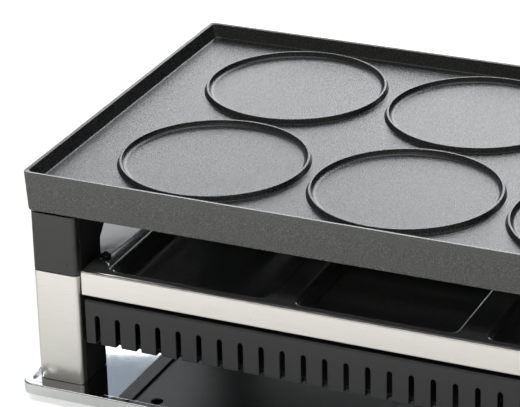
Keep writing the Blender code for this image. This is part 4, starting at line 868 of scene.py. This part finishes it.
print("pressed deck:", len(deck.data.polygons), "faces,", len(STATION_XS) * len(STATION_YS), "stations")

# %% [markdown]
# ## Marks round the thermostat knob
#
# A thermostat's dial has marks, or nobody could set it. They are pad printed: a silicone
# pad lays white ink on the finished moulding. A picture laid on the face would blur close
# up, so they are real flakes of ink, 0.05 mm thick. A helper turns an angle of the knob
# into a place on the face, and another lays a flake there.

# %% Places and flakes on the dial
KNOB_MIDDLE = (-0.04501, 0.05185)
CONTROL_FACE = 0.2240
INK = 0.00005


def on_dial(turn, reach, aside=0.0):
    """The (y, z) place at that turn of the knob, in degrees from the top, and that far out."""
    angle = math.radians(turn)
    return (KNOB_MIDDLE[0] - math.sin(angle) * reach + math.cos(angle) * aside,
            KNOB_MIDDLE[1] + math.cos(angle) * reach + math.sin(angle) * aside)


def lay_ink(bm, corners):
    """A closed flake of ink on the control face, inside its (y, z) corners."""
    low = [bm.verts.new((CONTROL_FACE, y, z)) for y, z in corners]
    high = [bm.verts.new((CONTROL_FACE + INK, y, z)) for y, z in corners]
    bm.faces.new(low)
    bm.faces.new(high)
    bridge(bm, low, high)


print("the knob's top is at", [round(v, 4) for v in on_dial(0, 0.015)])

# %% [markdown]
# ## The dial's ticks and wedge
#
# The marks carry no words. A short tick at the top is off. From there the knob turns to
# a wedge that grows with the heat and is cut by ticks. Numbers would do as well, but a
# growing wedge is read without learning a scale. It is laid in steps of five degrees, and
# a step that would touch a tick is left out.

# %% Ticks and wedge
TICK_REACH = (0.0158, 0.0176)
TICK_HALF = 0.0003
TICK_ROOM = 1
FIRST_HEAT = 60
FULL_HEAT = 270
HEAT_STEPS = 7
WEDGE_REACH = 0.0158
WEDGE_GROWTH = (0.0001, 0.0011)
WEDGE_STEP = 5

bm = bmesh.new()
heats = [FIRST_HEAT + (FULL_HEAT - FIRST_HEAT) * i / HEAT_STEPS for i in range(HEAT_STEPS + 1)]
for turn in (0, *heats):
    lay_ink(bm, [on_dial(turn, TICK_REACH[0], -TICK_HALF), on_dial(turn, TICK_REACH[0], TICK_HALF),
                 on_dial(turn, TICK_REACH[1], TICK_HALF), on_dial(turn, TICK_REACH[1], -TICK_HALF)])
for start in range(FIRST_HEAT + WEDGE_STEP, FULL_HEAT - WEDGE_STEP, WEDGE_STEP):
    end = start + WEDGE_STEP
    if any(start - TICK_ROOM < heat < end + TICK_ROOM for heat in heats):
        continue
    grown = WEDGE_GROWTH[0] + WEDGE_GROWTH[1] * (start - FIRST_HEAT) / (FULL_HEAT - FIRST_HEAT)
    lay_ink(bm, [on_dial(start, WEDGE_REACH), on_dial(end, WEDGE_REACH),
                 on_dial(end, WEDGE_REACH + grown), on_dial(start, WEDGE_REACH + grown)])
place_piece("dial_marks", bm, "ceramic", "base", finish="dial_ink")
print("dial marks:", len(heats) + 1, "ticks")
